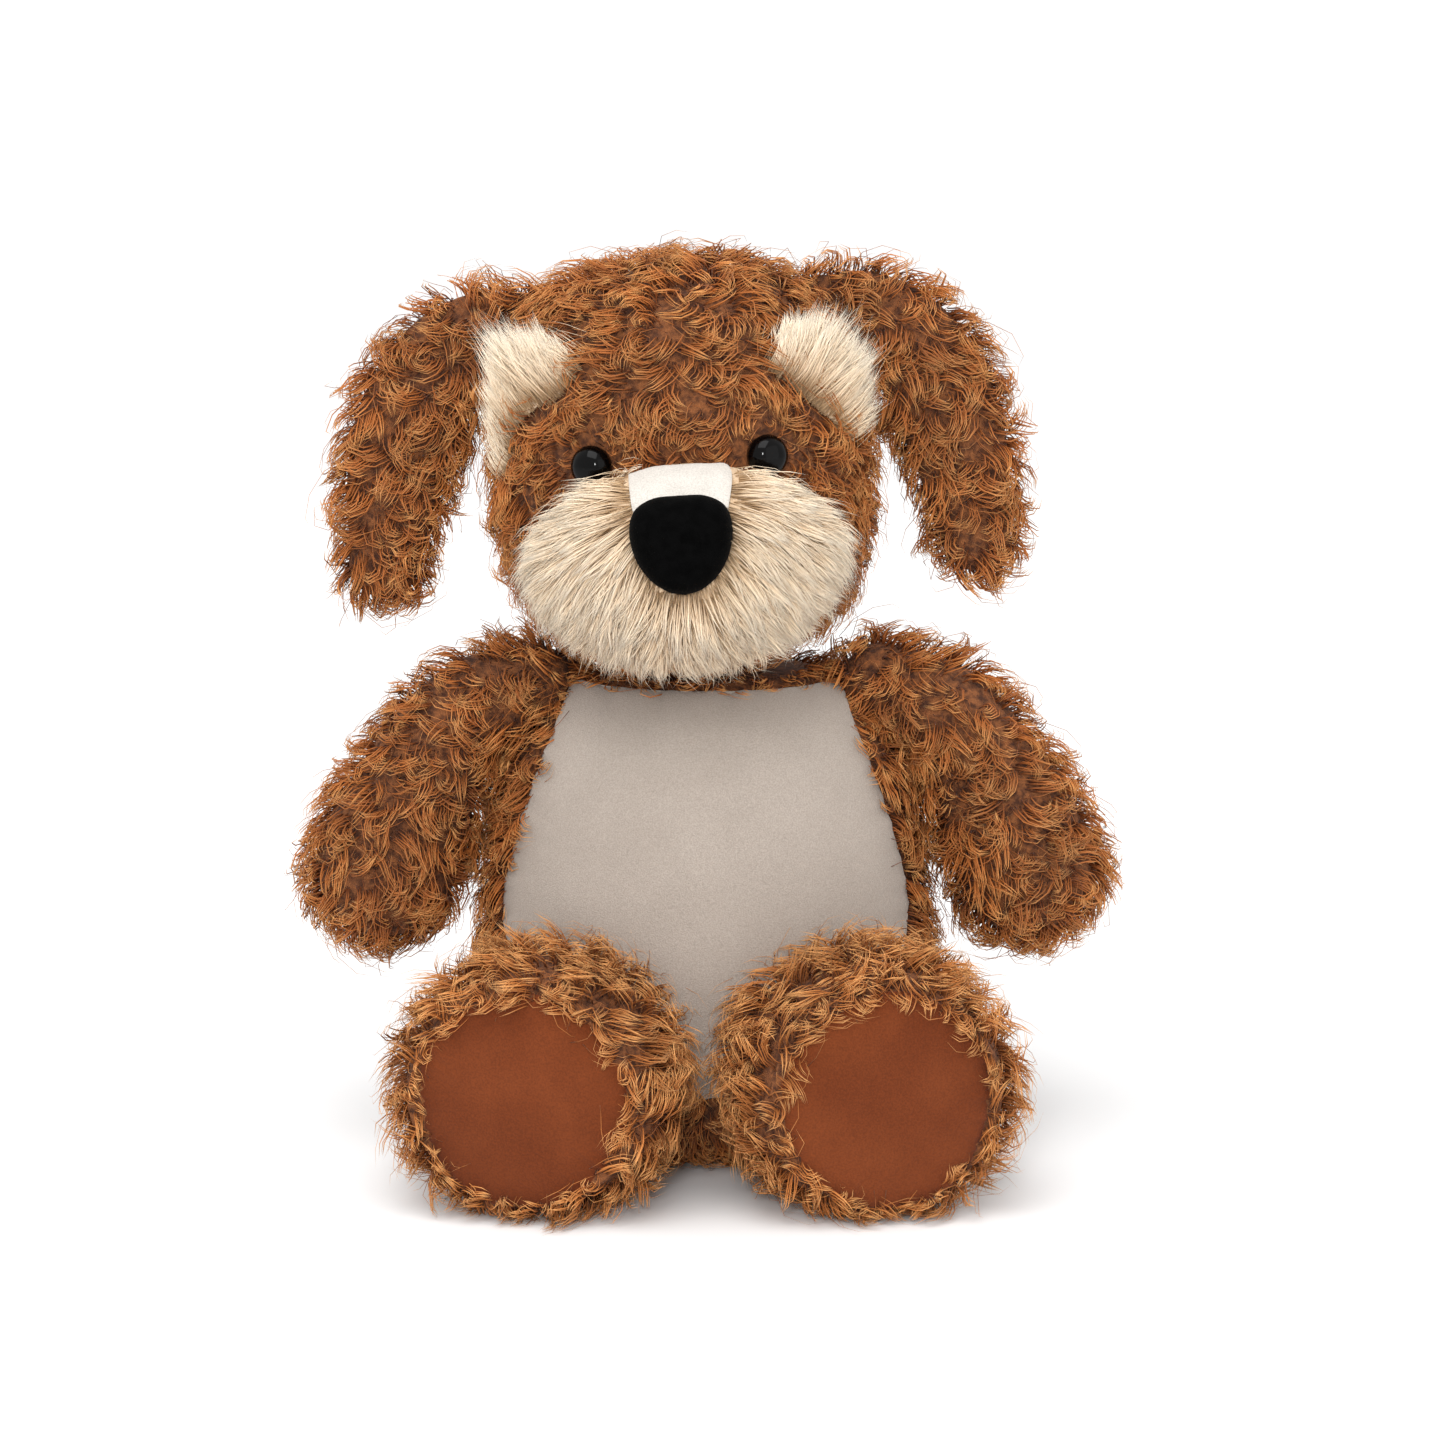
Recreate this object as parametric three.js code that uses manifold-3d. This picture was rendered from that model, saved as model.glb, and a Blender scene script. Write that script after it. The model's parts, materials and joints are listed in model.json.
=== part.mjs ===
// A seated plush puppy with floppy ears: sewn skins, stuffing, a weighted seat and moulded eyes.
// Millimetres, +Z up, with the face and the soles towards -Y. It rests on its seat at Z = 0.
import * as THREE from "three";
import { mergeVertices } from "three/addons/utils/BufferGeometryUtils.js";
import Module from "manifold-3d";

const wasm = await Module();
wasm.setup();

// ---------------------------------------------------------------- driving dimensions
const FABRIC = 2.4; // pile fabric with its backing
const GAP = 0.35; // between sewn or stuffed neighbours
const JOINT_GAP = 1.4; // round a ball end in its socket
const SIDES = 20; // of a large turned form
const LIMB_SIDES = 14;
const SMALL_SIDES = 12; // of a fitting
const ROOM_SIDES = 8; // of a tool that only makes room for a limb
const FACETS = 3; // steps in a quarter of a round end

const SEAT_RADIUS = 42; // flat underside of the torso
const HIP_RADIUS = 66;
const HIP_HEIGHT = 48;
const WAIST_RADIUS = 61.5;
const WAIST_DROP = 40; // below the torso's top
const SHOULDER_RADIUS = 53.5;
const SHOULDER_DROP = 16;
const NECK_RADIUS = 34;
const TORSO_HEIGHT = 144;
const TORSO_FLATNESS = 0.82; // depth over width

const PANEL_TOP_DROP = 5; // tummy panel, seen from the front
const PANEL_TOP_HALF_WIDTH = 42;
const PANEL_WIDEST = 72; // height of its widest
const PANEL_HALF_WIDTH = 60;
const PANEL_TIP = 24;

const PELLET_BAG_RADIUS = 34; // weighting bag in the seat
const PELLET_BAG_HEIGHT = 22;

const NECK_X = -4; // the head is sewn on a little to one side
const NECK_RISE = 16; // centre of the neck's ball above the torso's top
const NECK_BALL_RADIUS = 21;
const NECK_STEM_RADIUS = 13.5;
const NECK_STEM_DEPTH = 30; // below the torso's top

const HEAD_RADIUS = 53.5;
const HEAD_HALF_HEIGHT = 57.6;
const HEAD_SQUARENESS = 2.7; // 2 is an ellipse
const HEAD_FLATNESS = 0.95;
const NECK_SEAT = 11.8; // centre of the neck's ball above the head's underside
const HEAD_FORWARD = 8;
const HEAD_ROLL = 3.6; // degrees, lower on its right

const MUZZLE_HALF_WIDTH = 40;
const MUZZLE_HALF_DEPTH = 30;
const MUZZLE_HALF_HEIGHT = 28;
const MUZZLE_DROP = 23; // muzzle centre below the head centre
const BRIDGE_TOP_HALF_WIDTH = 16;
const BRIDGE_LOW_HALF_WIDTH = 13.5;

const NOSE_HALF_WIDTH = 14.2;
const NOSE_HALF_HEIGHT = 13.4;
const NOSE_STANDS_OUT = 7.5; // beyond the front of the muzzle
const NOSE_ROUNDING = 4.5;
const NOSE_DROP = 16; // nose centre below the head centre

const EYE_RADIUS = 6;
const EYE_DOME = 4.4;
const EYE_SHANK_RADIUS = 2;
const EYE_SHANK_LENGTH = 12;
const EYE_HALF_SPACING = 24.2;
const EYE_RISE = 4; // above the head centre
const WASHER_RADIUS = 7;
const WASHER_THICKNESS = 2;
const WASHER_SINK = 1; // so that its rim clears the curved face

const BROW_INNER = [27, 37]; // tuft patches, [x, z] from the head centre
const BROW_MIDDLE = [33, 19];
const BROW_OUTER = [48, 2];
const BROW_WIDTH = 9;

const EAR_INSET = 9.5; // hinge inside the head's widest
const EAR_DROP = 14.5; // hinge below the head's top
const EAR_BACK = 2; // behind the head centre
const EAR_SPINE = [[14, -3], [26, -15], [36, -41], [40, -72]]; // [x, z] from the hinge
const EAR_ROOT_RADIUS = 9.5;
const EAR_RADIUS = 16;
const EAR_TIP_RADIUS = 11.5;
const EAR_FLATNESS = 0.55;
const EAR_LIFTS = { right: 5, left: 1 }; // degrees each ear is raised at rest
const EAR_SWING = [-4, 45]; // degrees, out and up is positive

const ARM_INSET = 1.5; // hinge inside the shoulder
const ARM_DROP = 7; // hinge below the torso's top
const ARM_Y = -2;
const ARM_SPINE = [[20.6, -8], [37, -34], [44.5, -53]]; // [x, z] from the hinge
const ARM_ROOT_RADIUS = 14.5;
const ARM_RADIUS = 17;
const WRIST_RADIUS = 20.5;
const HAND_RADIUS = 22;
const ARM_FORWARD = 9; // degrees
const ARM_SWING = [-5, 35]; // degrees, out and up is positive

const LEG_SPREAD = 4.5; // hinge outside a leg's radius
const LEG_SINK = 25; // hinge behind the torso's front
const LEG_CLEARANCE = 0.8; // above the floor
const LEG_LENGTH = 69; // hinge to the crown of the sole
const LEG_ROOT_RADIUS = 24;
const LEG_RADIUS = 34;
const LEG_WIDENESS = 1.07; // width over height
const SOLE_RADIUS = 30.3;
const SOLE_CROWN = 3;
const TOE_OUT = 11; // degrees
const LEG_SWING = [0, 25]; // degrees, foot up is positive

const TAIL_HEIGHT = 34;
const TAIL_ROOT_RADIUS = 10;
const TAIL_RADIUS = 11.5;
const TAIL_LENGTH = 22;
const TAIL_RISE = 45; // degrees above level
const TAIL_SWING = 25; // degrees each way

// The head centre above the neck's ball, and the muzzle centre in front of the head centre.
const headLift = HEAD_HALF_HEIGHT - NECK_SEAT;
const muzzleForward = HEAD_RADIUS * HEAD_FLATNESS;

// The puppy's own right is on the -X side.
const sides = [[-1, "right"], [1, "left"]];

// ---------------------------------------------------------------- materials
const material = (color, roughness) => new THREE.MeshStandardMaterial({ color, roughness, metalness: 0 });
const curlyPlush = material(0x8a5a33, 0.95);
const longPlush = material(0xd2bda6, 0.95);
const smoothPlush = material(0xb9ada0, 0.95);
const whitePlush = material(0xe9e2da, 0.95);
const suede = material(0x7a4022, 0.85);
const blackPlush = material(0x08080a, 0.75);
const fibreFill = material(0xf0efec, 0.95);
const pelletCloth = material(0xd8d4cc, 0.9);
const eyePlastic = material(0x050506, 0.08);
const washerPlastic = material(0xe6e6e2, 0.5);

// ---------------------------------------------------------------- solids
const rad = THREE.MathUtils.degToRad;
const REACH = 200; // longer than anything a cutting tool has to pass

// A closed geometry as a solid that can be joined and cut.
function solid(geometry) {
  const bare = geometry.index ? geometry.toNonIndexed() : geometry.clone();
  bare.deleteAttribute("normal");
  bare.deleteAttribute("uv");
  const merged = mergeVertices(bare, 1e-4);
  const made = new wasm.Manifold(
    new wasm.Mesh({
      numProp: 3,
      vertProperties: merged.attributes.position.array,
      triVerts: new Uint32Array(merged.index.array),
    }),
  );
  if (made.volume() <= 0) throw new Error("a form is open or faces inwards");
  return made;
}

const placed = (body, matrix) => body.transform(matrix.elements);
const without = (body, ...tools) => tools.reduce((left, tool) => left.subtract(tool), body);

// A solid as a named mesh.
function piece(name, body, look) {
  const { vertProperties, triVerts } = body.getMesh();
  const geometry = new THREE.BufferGeometry();
  geometry.setAttribute("position", new THREE.BufferAttribute(new Float32Array(vertProperties), 3));
  geometry.setIndex(new THREE.BufferAttribute(new Uint32Array(triVerts), 1));
  const mesh = new THREE.Mesh(geometry, look);
  mesh.name = name;
  return mesh;
}

// Everything beyond a plane across X, Y or Z, on its -1 or +1 side, as a cutting tool.
function beyond(axis, place, side) {
  const centre = new THREE.Vector3().setComponent(axis, place + side * REACH);
  const box = new THREE.BoxGeometry(2 * REACH, 2 * REACH, 2 * REACH);
  return solid(box.translate(centre.x, centre.y, centre.z));
}
const [X, Y] = [0, 1];

// Profile points are [radius, height] vectors, from the lowest point on the axis to the highest.
const point = (radius, height) => new THREE.Vector2(radius, height);

// Part of a circle of profile points, between two angles in degrees from level.
function arc(radius, height, from, to) {
  return Array.from({ length: FACETS + 1 }, (_, i) => {
    const angle = from + ((to - from) * i) / FACETS;
    const out = Math.abs(angle) === 90 ? 0 : Math.cos(rad(angle));
    return point(radius * out, height + radius * Math.sin(rad(angle)));
  });
}

// A smooth run of profile points through stations of [radius, height].
const smooth = (stations, steps) => new THREE.SplineCurve(stations.map(([r, h]) => point(r, h))).getPoints(steps);

// Half a superellipse, from pole to pole: |r/R|^n + |z/H|^n = 1.
function superellipse(radius, halfHeight, squareness, steps) {
  return Array.from({ length: steps + 1 }, (_, i) => {
    const angle = rad(-90 + (180 * i) / steps);
    const out = i % steps === 0 ? 0 : Math.cos(angle) ** (2 / squareness);
    const up = Math.sign(Math.sin(angle)) * Math.abs(Math.sin(angle)) ** (2 / squareness);
    return point(radius * out, halfHeight * up);
  });
}

// A profile turned about Z.
const turned = (profile, sides = SIDES) => new THREE.LatheGeometry(profile, sides).rotateX(Math.PI / 2);

// A profile with each point moved out along its own normal, its ends staying on the axis.
function grown(profile, distance) {
  return profile.map((here, i) => {
    if (i === 0) return point(0, here.y - distance);
    if (i === profile.length - 1) return point(0, here.y + distance);
    const along = profile[i + 1].clone().sub(profile[i - 1]).normalize();
    return point(here.x + along.y * distance, here.y - along.x * distance);
  });
}

// Radii that let a form with few sides reach as far as a form with many.
const reaching = (stations, sides) =>
  stations.map(([r, along]) => [(r * Math.cos(Math.PI / SIDES)) / Math.cos(Math.PI / sides), along]);

// A stuffed tube's profile with a ball at each end, through stations of [radius, distance along it].
function tubeProfile(stations) {
  const [rootRadius, rootAlong] = stations[0];
  const [tipRadius, tipAlong] = stations[stations.length - 1];
  return [
    ...arc(rootRadius, rootAlong, -90, 0).slice(0, -1),
    ...smooth(stations, 2 * stations.length - 2),
    ...arc(tipRadius, tipAlong, 0, 90).slice(1),
  ];
}

// The same tube past its root's middle only, square at the start, as a tool that makes room.
function roomProfile(stations) {
  const wide = reaching(stations, ROOM_SIDES);
  return [point(0, wide[0][1]), ...smooth(wide, stations.length - 1), ...arc(wide.at(-1)[0], wide.at(-1)[1], 0, 90).slice(1)];
}

// A turned form bent along a spine in the XZ plane: height along the profile becomes distance
// along the spine, which runs straight on past both ends. Flatness squeezes it along Y.
function bent(profile, spine, sides, flatness = 1) {
  const geometry = turned(profile, sides);
  const length = spine.getLength();
  const position = geometry.getAttribute("position");
  for (let i = 0; i < position.count; i++) {
    const along = position.getZ(i);
    const share = THREE.MathUtils.clamp(along / length, 0, 1);
    const tangent = spine.getTangentAt(share);
    const across = new THREE.Vector3(tangent.z, 0, -tangent.x);
    const place = spine.getPointAt(share);
    place.addScaledVector(tangent, along - share * length).addScaledVector(across, position.getX(i));
    position.setXYZ(i, place.x, position.getY(i) * flatness, place.z);
  }
  return geometry;
}

// A spine from the origin through points of [x, z], on the -1 or +1 side.
const spineThrough = (points, side) =>
  new THREE.CatmullRomCurve3([[0, 0], ...points].map(([x, z]) => new THREE.Vector3(side * x, 0, z)));

// An outline of [x, z] points carried along Y between two places.
function slab(outline, fromY, toY) {
  const shape = new THREE.Shape(outline.map(([x, z]) => new THREE.Vector2(x, z)));
  const geometry = new THREE.ExtrudeGeometry(shape, { depth: toY - fromY, bevelEnabled: false });
  return solid(geometry.rotateX(Math.PI / 2).translate(0, toY, 0));
}

const ball = (radius, sides = LIMB_SIDES) => solid(new THREE.SphereGeometry(radius, sides, sides / 2 + 2));

// A socket for a ball end that keeps its clearance with few sides.
const socketFor = (radius) => ball((radius + JOINT_GAP) / Math.cos(Math.PI / LIMB_SIDES));

// A named group whose origin is a hinge, standing at a place and turned about Z by degrees.
function hinged(place, turn = 0) {
  const group = new THREE.Group();
  group.position.set(...place);
  group.rotation.z = rad(turn);
  group.updateMatrix();
  return group;
}

// The space a limb needs in its parent's frame: a socket for its root, and its form at each swing.
function roomFor(socket, form, group, angles, sign) {
  const copies = angles.map((angle) => form.transform(new THREE.Matrix4().makeRotationY(rad(sign * angle)).elements));
  return copies.reduce((sum, copy) => sum.add(copy), socket).transform(group.matrix.elements);
}

// Angles through a range of degrees: both ends and rest, each once.
const through = ([low, high]) => [...new Set([low, 0, high])];

// ---------------------------------------------------------------- ears
// An ear hangs from a flattened ball at its root: a front and a back panel of thick pile, unstuffed.
function earStations(side, grow) {
  const length = spineThrough(EAR_SPINE, side).getLength();
  return [
    [EAR_ROOT_RADIUS + grow, 0],
    [EAR_RADIUS + grow, length * 0.42],
    [EAR_RADIUS * 0.97 + grow, length * 0.68],
    [EAR_TIP_RADIUS + grow, length],
  ];
}

function earForm(side, grow) {
  return solid(bent(tubeProfile(earStations(side, grow)), spineThrough(EAR_SPINE, side), LIMB_SIDES, EAR_FLATNESS));
}

function earGroup(side, name) {
  const group = hinged([side * (HEAD_RADIUS - EAR_INSET), EAR_BACK - HEAD_FORWARD, headLift + HEAD_HALF_HEIGHT - EAR_DROP]);
  group.rotation.y = rad(-side * EAR_LIFTS[name]);
  group.updateMatrix();
  const ear = earForm(side, 0);
  group.add(
    piece(`ear_${name}_front`, without(ear, beyond(Y, -GAP / 2, 1)), curlyPlush),
    piece(`ear_${name}_back`, without(ear, beyond(Y, GAP / 2, -1)), curlyPlush),
  );
  return group;
}

function earRoom(side, group) {
  const profile = roomProfile(earStations(side, JOINT_GAP));
  const form = solid(bent(profile, spineThrough(EAR_SPINE, side), ROOM_SIDES, EAR_FLATNESS));
  const flattened = new THREE.Matrix4().makeScale(1, EAR_FLATNESS, 1);
  return roomFor(placed(socketFor(EAR_ROOT_RADIUS), flattened), form, group, through(EAR_SWING), -side);
}

// ---------------------------------------------------------------- arms
// An arm is an open sleeve round a stuffed core whose ball end sits in the shoulder.
function armStations(side, grow) {
  const length = spineThrough(ARM_SPINE, side).getLength();
  return [
    [ARM_ROOT_RADIUS + grow, 0],
    [ARM_RADIUS + grow, length * 0.4],
    [WRIST_RADIUS + grow, length * 0.75],
    [HAND_RADIUS + grow, length],
  ];
}

const armForm = (side, grow) =>
  solid(bent(tubeProfile(armStations(side, grow)), spineThrough(ARM_SPINE, side), LIMB_SIDES));

function armRoom(side, group) {
  const form = solid(bent(roomProfile(armStations(side, JOINT_GAP)), spineThrough(ARM_SPINE, side), ROOM_SIDES));
  return roomFor(socketFor(ARM_ROOT_RADIUS), form, group, through(ARM_SWING), -side);
}

function armGroup(side, name) {
  const group = hinged([side * (SHOULDER_RADIUS - ARM_INSET), ARM_Y, TORSO_HEIGHT - ARM_DROP], -side * ARM_FORWARD);
  const sleeve = without(armForm(side, 0), armForm(side, -FABRIC), beyond(X, 0, -side));
  group.add(
    piece(`arm_${name}_skin`, sleeve, curlyPlush),
    piece(`arm_${name}_filling`, armForm(side, -FABRIC - GAP), fibreFill),
  );
  return group;
}

// ---------------------------------------------------------------- legs
// A leg runs along X from the hip's ball end to a flat end that the sole closes.
function legStations(grow) {
  return [
    [LEG_ROOT_RADIUS + grow, 0],
    [LEG_RADIUS - 2 + grow, LEG_LENGTH * 0.35],
    [LEG_RADIUS + grow, LEG_LENGTH * 0.6],
    [LEG_RADIUS - 0.6 + grow, LEG_LENGTH * 0.8],
    [SOLE_RADIUS, LEG_LENGTH - SOLE_CROWN + grow],
  ];
}

function legForm(grow) {
  const stations = legStations(grow);
  const side = smooth(stations, 7);
  const profile = [...arc(LEG_ROOT_RADIUS + grow, 0, -90, 0).slice(0, -1), ...side, point(0, side.at(-1).y)];
  return solid(turned(profile).rotateY(Math.PI / 2).scale(1, LEG_WIDENESS, 1));
}

function legRoom(group) {
  const side = smooth(reaching(legStations(JOINT_GAP), ROOM_SIDES).slice(0, -1), 4);
  const profile = [point(0, 0), ...side, point(0, side.at(-1).y)];
  const widened = new THREE.Matrix4().makeScale(1, LEG_WIDENESS, 1);
  const form = placed(solid(turned(profile, ROOM_SIDES).rotateY(Math.PI / 2)), widened);
  return roomFor(placed(socketFor(LEG_ROOT_RADIUS), widened), form, group, through(LEG_SWING), -1);
}

function soleForm() {
  const back = LEG_LENGTH - SOLE_CROWN - FABRIC;
  const crown = smooth([[SOLE_RADIUS, back + FABRIC], [SOLE_RADIUS * 0.6, LEG_LENGTH - SOLE_CROWN * 0.25], [0, LEG_LENGTH]], 6);
  return solid(turned([point(0, back), point(SOLE_RADIUS, back), ...crown]).rotateY(Math.PI / 2));
}

// The round opening that the sole closes, with its seam gap.
function soleOpening() {
  const opening = new THREE.CylinderGeometry(SOLE_RADIUS + GAP, SOLE_RADIUS + GAP, REACH, SIDES);
  return solid(opening.rotateZ(Math.PI / 2).translate(LEG_LENGTH - SOLE_CROWN - FABRIC - 2 * GAP + REACH / 2, 0, 0));
}

function legGroup(side, name) {
  const front = -TORSO_FLATNESS * HIP_RADIUS;
  const group = hinged([side * (LEG_RADIUS + LEG_SPREAD), front + LEG_SINK, LEG_RADIUS + LEG_CLEARANCE], -90 + side * TOE_OUT);
  const skin = without(legForm(0), legForm(-FABRIC), soleOpening(), beyond(X, 0, -1));
  group.add(
    piece(`leg_${name}_skin`, skin, curlyPlush),
    piece(`leg_${name}_filling`, legForm(-FABRIC - GAP), fibreFill),
    piece(`leg_${name}_sole`, soleForm(), suede),
  );
  return group;
}

// ---------------------------------------------------------------- tail
function tailStations(grow) {
  return [
    [TAIL_ROOT_RADIUS + grow, 0],
    [TAIL_RADIUS + grow, TAIL_LENGTH * 0.6],
    [TAIL_RADIUS - 1 + grow, TAIL_LENGTH],
  ];
}

const tailSpine = () =>
  spineThrough([[TAIL_LENGTH * Math.cos(rad(TAIL_RISE)), TAIL_LENGTH * Math.sin(rad(TAIL_RISE))]], 1);

const tailForm = (grow) => solid(bent(tubeProfile(tailStations(grow)), tailSpine(), LIMB_SIDES));

// The tail swings about the vertical, so its room is its form turned each way.
function tailRoom(group) {
  const form = solid(bent(roomProfile(tailStations(JOINT_GAP)), tailSpine(), ROOM_SIDES));
  const turns = [-TAIL_SWING, 0, TAIL_SWING].map((turn) =>
    placed(form, new THREE.Matrix4().makeRotationZ(rad(turn))),
  );
  return placed(turns.reduce((sum, turn) => sum.add(turn), socketFor(TAIL_ROOT_RADIUS)), group.matrix);
}

function tailGroup() {
  const back = TORSO_FLATNESS * torsoRadiusAt(TAIL_HEIGHT) - TAIL_ROOT_RADIUS / 3;
  const group = hinged([0, back, TAIL_HEIGHT], 90);
  const skin = without(tailForm(0), tailForm(-FABRIC), beyond(X, 0, -1));
  group.add(piece("tail_skin", skin, curlyPlush), piece("tail_filling", tailForm(-FABRIC - GAP), fibreFill));
  return group;
}

// ---------------------------------------------------------------- torso
function torsoProfile() {
  const side = [
    [SEAT_RADIUS, 0],
    [HIP_RADIUS * 0.92, HIP_HEIGHT * 0.3],
    [HIP_RADIUS, HIP_HEIGHT],
    [WAIST_RADIUS, TORSO_HEIGHT - WAIST_DROP],
    [SHOULDER_RADIUS, TORSO_HEIGHT - SHOULDER_DROP],
    [NECK_RADIUS, TORSO_HEIGHT],
  ];
  return [point(0, 0), ...smooth(side, 11), point(0, TORSO_HEIGHT)];
}

// The torso's half width at a height, between the profile's points.
function torsoRadiusAt(height) {
  const profile = torsoProfile().slice(1);
  const above = profile.findIndex((here) => here.y > height);
  const [low, high] = [profile[above - 1], profile[above]];
  return THREE.MathUtils.mapLinear(height, low.y, high.y, low.x, high.x);
}

const torsoForm = (grow) => solid(turned(grown(torsoProfile(), grow)).scale(1, TORSO_FLATNESS, 1));

// The tummy panel's outline, swollen by its seam gap, to cut from the front.
function panelOutline(grow) {
  const top = TORSO_HEIGHT - PANEL_TOP_DROP;
  const half = smooth(
    [
      [PANEL_TOP_HALF_WIDTH, top],
      [PANEL_HALF_WIDTH * 0.88, (top + PANEL_WIDEST) / 2],
      [PANEL_HALF_WIDTH, PANEL_WIDEST],
      [PANEL_HALF_WIDTH * 0.84, PANEL_TIP + (PANEL_WIDEST - PANEL_TIP) * 0.45],
      [PANEL_HALF_WIDTH * 0.4, PANEL_TIP + (PANEL_WIDEST - PANEL_TIP) * 0.08],
      [0, PANEL_TIP],
    ],
    10,
  ).map(({ x, y }) => [x === 0 ? 0 : x + grow, y + (y > PANEL_WIDEST ? grow : -grow)]);
  return [...half, ...half.slice(0, -1).reverse().map(([x, z]) => [-x, z])];
}

function pelletBagForm(grow) {
  const base = FABRIC + GAP - grow;
  const [radius, height] = [PELLET_BAG_RADIUS + grow, PELLET_BAG_HEIGHT + 2 * grow];
  const crown = smooth([[radius * 0.9, 0], [radius, height * 0.4], [radius * 0.72, height * 0.88]], 7);
  const profile = [point(0, 0), ...crown, point(0, height)];
  return solid(turned(profile).scale(1, TORSO_FLATNESS, 1).translate(0, 0, base));
}

// The stem from the neck's ball, at the origin, down into the torso.
function neckStem(grow) {
  const length = NECK_RISE + NECK_STEM_DEPTH + grow;
  const stem = new THREE.CylinderGeometry(NECK_STEM_RADIUS + grow, NECK_STEM_RADIUS + grow, length, SIDES);
  return solid(stem.rotateX(Math.PI / 2).translate(0, 0, -length / 2));
}

const neckForm = (grow) => neckStem(grow).add(ball(NECK_BALL_RADIUS + grow));

// ---------------------------------------------------------------- head
// Everything in the head's own frame, whose origin is the centre of the neck's ball.
function headForm(grow) {
  const profile = superellipse(HEAD_RADIUS + grow, HEAD_HALF_HEIGHT + grow, HEAD_SQUARENESS, 12);
  const flatness = (HEAD_RADIUS * HEAD_FLATNESS + grow) / (HEAD_RADIUS + grow);
  return solid(turned(profile).scale(1, flatness, 1).translate(0, -HEAD_FORWARD, headLift));
}

function muzzleForm(grow) {
  const unit = turned(superellipse(1, 1, 2, 10));
  unit.scale(MUZZLE_HALF_WIDTH + grow, MUZZLE_HALF_DEPTH + grow, MUZZLE_HALF_HEIGHT + grow);
  return solid(unit.translate(0, -HEAD_FORWARD - muzzleForward, headLift - MUZZLE_DROP));
}

// The white wedge from between the eyes down behind the nose, swollen by its seam gap.
function bridgeTool(grow) {
  const low = headLift - NOSE_DROP - grow;
  const high = headLift + MUZZLE_HALF_HEIGHT;
  const [wide, narrow] = [BRIDGE_TOP_HALF_WIDTH + grow, BRIDGE_LOW_HALF_WIDTH + grow];
  return slab([[-narrow, low], [narrow, low], [wide, high], [-wide, high]], -REACH, 0);
}

// A tuft patch: a crescent along a bent line, wide at its inner end, seen from the front.
function browTool(side, grow) {
  const [inner, middle, outer] = [BROW_INNER, BROW_MIDDLE, BROW_OUTER].map(([x, z]) => new THREE.Vector2(x, z));
  const line = new THREE.QuadraticBezierCurve(inner, middle, outer);
  const edge = (share, reach) => {
    const along = line.getTangent(share);
    const place = line.getPoint(share);
    place.addScaledVector(along, grow * (2 * share - 1));
    return [side * (place.x - along.y * reach), headLift + place.y + along.x * reach];
  };
  const shares = Array.from({ length: 6 }, (_, i) => i / 5);
  const width = (share) => BROW_WIDTH * (1 - 0.65 * share);
  const outline = [
    ...shares.map((share) => edge(share, -grow)),
    ...shares.toReversed().map((share) => edge(share, width(share) + grow)),
  ];
  return slab(outline, -REACH, -HEAD_FORWARD);
}

// A pad with a broad arched top and a rounded point below, its back shaped to the muzzle.
function noseForm() {
  const [w, h] = [NOSE_HALF_WIDTH, NOSE_HALF_HEIGHT];
  const shape = new THREE.Shape();
  shape.moveTo(-w, 0.3 * h);
  shape.quadraticCurveTo(-0.92 * w, 0.92 * h, -0.35 * w, h);
  shape.quadraticCurveTo(0, 1.04 * h, 0.35 * w, h);
  shape.quadraticCurveTo(0.92 * w, 0.92 * h, w, 0.3 * h);
  shape.quadraticCurveTo(w, -0.4 * h, 0.36 * w, -0.88 * h);
  shape.quadraticCurveTo(0, -1.12 * h, -0.36 * w, -0.88 * h);
  shape.quadraticCurveTo(-w, -0.4 * h, -w, 0.3 * h);
  const geometry = new THREE.ExtrudeGeometry(shape, {
    depth: MUZZLE_HALF_DEPTH,
    curveSegments: 3,
    bevelThickness: NOSE_ROUNDING,
    bevelSize: NOSE_ROUNDING,
    bevelOffset: -NOSE_ROUNDING,
    bevelSegments: 3,
  });
  const front = -HEAD_FORWARD - muzzleForward - MUZZLE_HALF_DEPTH - NOSE_STANDS_OUT;
  geometry.rotateX(Math.PI / 2).translate(0, front + MUZZLE_HALF_DEPTH + NOSE_ROUNDING, headLift - NOSE_DROP);
  return without(solid(geometry), muzzleForm(GAP));
}

// A matrix that stands a part on the head's surface, its +Z along the outward normal there.
function onHead(x, rise) {
  const level = HEAD_RADIUS * (1 - Math.abs(rise / HEAD_HALF_HEIGHT) ** HEAD_SQUARENESS) ** (1 / HEAD_SQUARENESS);
  const y = -HEAD_FLATNESS * Math.sqrt(level ** 2 - x ** 2);
  const steep = (rise / HEAD_HALF_HEIGHT) ** (HEAD_SQUARENESS - 1) / HEAD_HALF_HEIGHT;
  const out = (level / HEAD_RADIUS) ** (HEAD_SQUARENESS - 1) / HEAD_RADIUS;
  const normal = new THREE.Vector3((out * x) / level, (out * y) / (level * HEAD_FLATNESS ** 2), steep).normalize();
  const turn = new THREE.Quaternion().setFromUnitVectors(new THREE.Vector3(0, 0, 1), normal);
  const place = new THREE.Vector3(x, y - HEAD_FORWARD, rise + headLift);
  return new THREE.Matrix4().compose(place, turn, new THREE.Vector3(1, 1, 1));
}

// A moulded eye: a dome on a shank that goes through the face.
function eyeForm() {
  const crown = Array.from({ length: FACETS }, (_, i) => {
    const angle = rad((90 * i) / FACETS);
    return point(EYE_RADIUS * Math.cos(angle), GAP + 0.4 + (EYE_DOME - 0.4) * Math.sin(angle));
  });
  return solid(
    turned([
      point(0, -EYE_SHANK_LENGTH),
      point(EYE_SHANK_RADIUS, -EYE_SHANK_LENGTH),
      point(EYE_SHANK_RADIUS, GAP),
      point(EYE_RADIUS, GAP),
      ...crown,
      point(0, GAP + EYE_DOME),
    ], SMALL_SIDES),
  );
}

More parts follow.
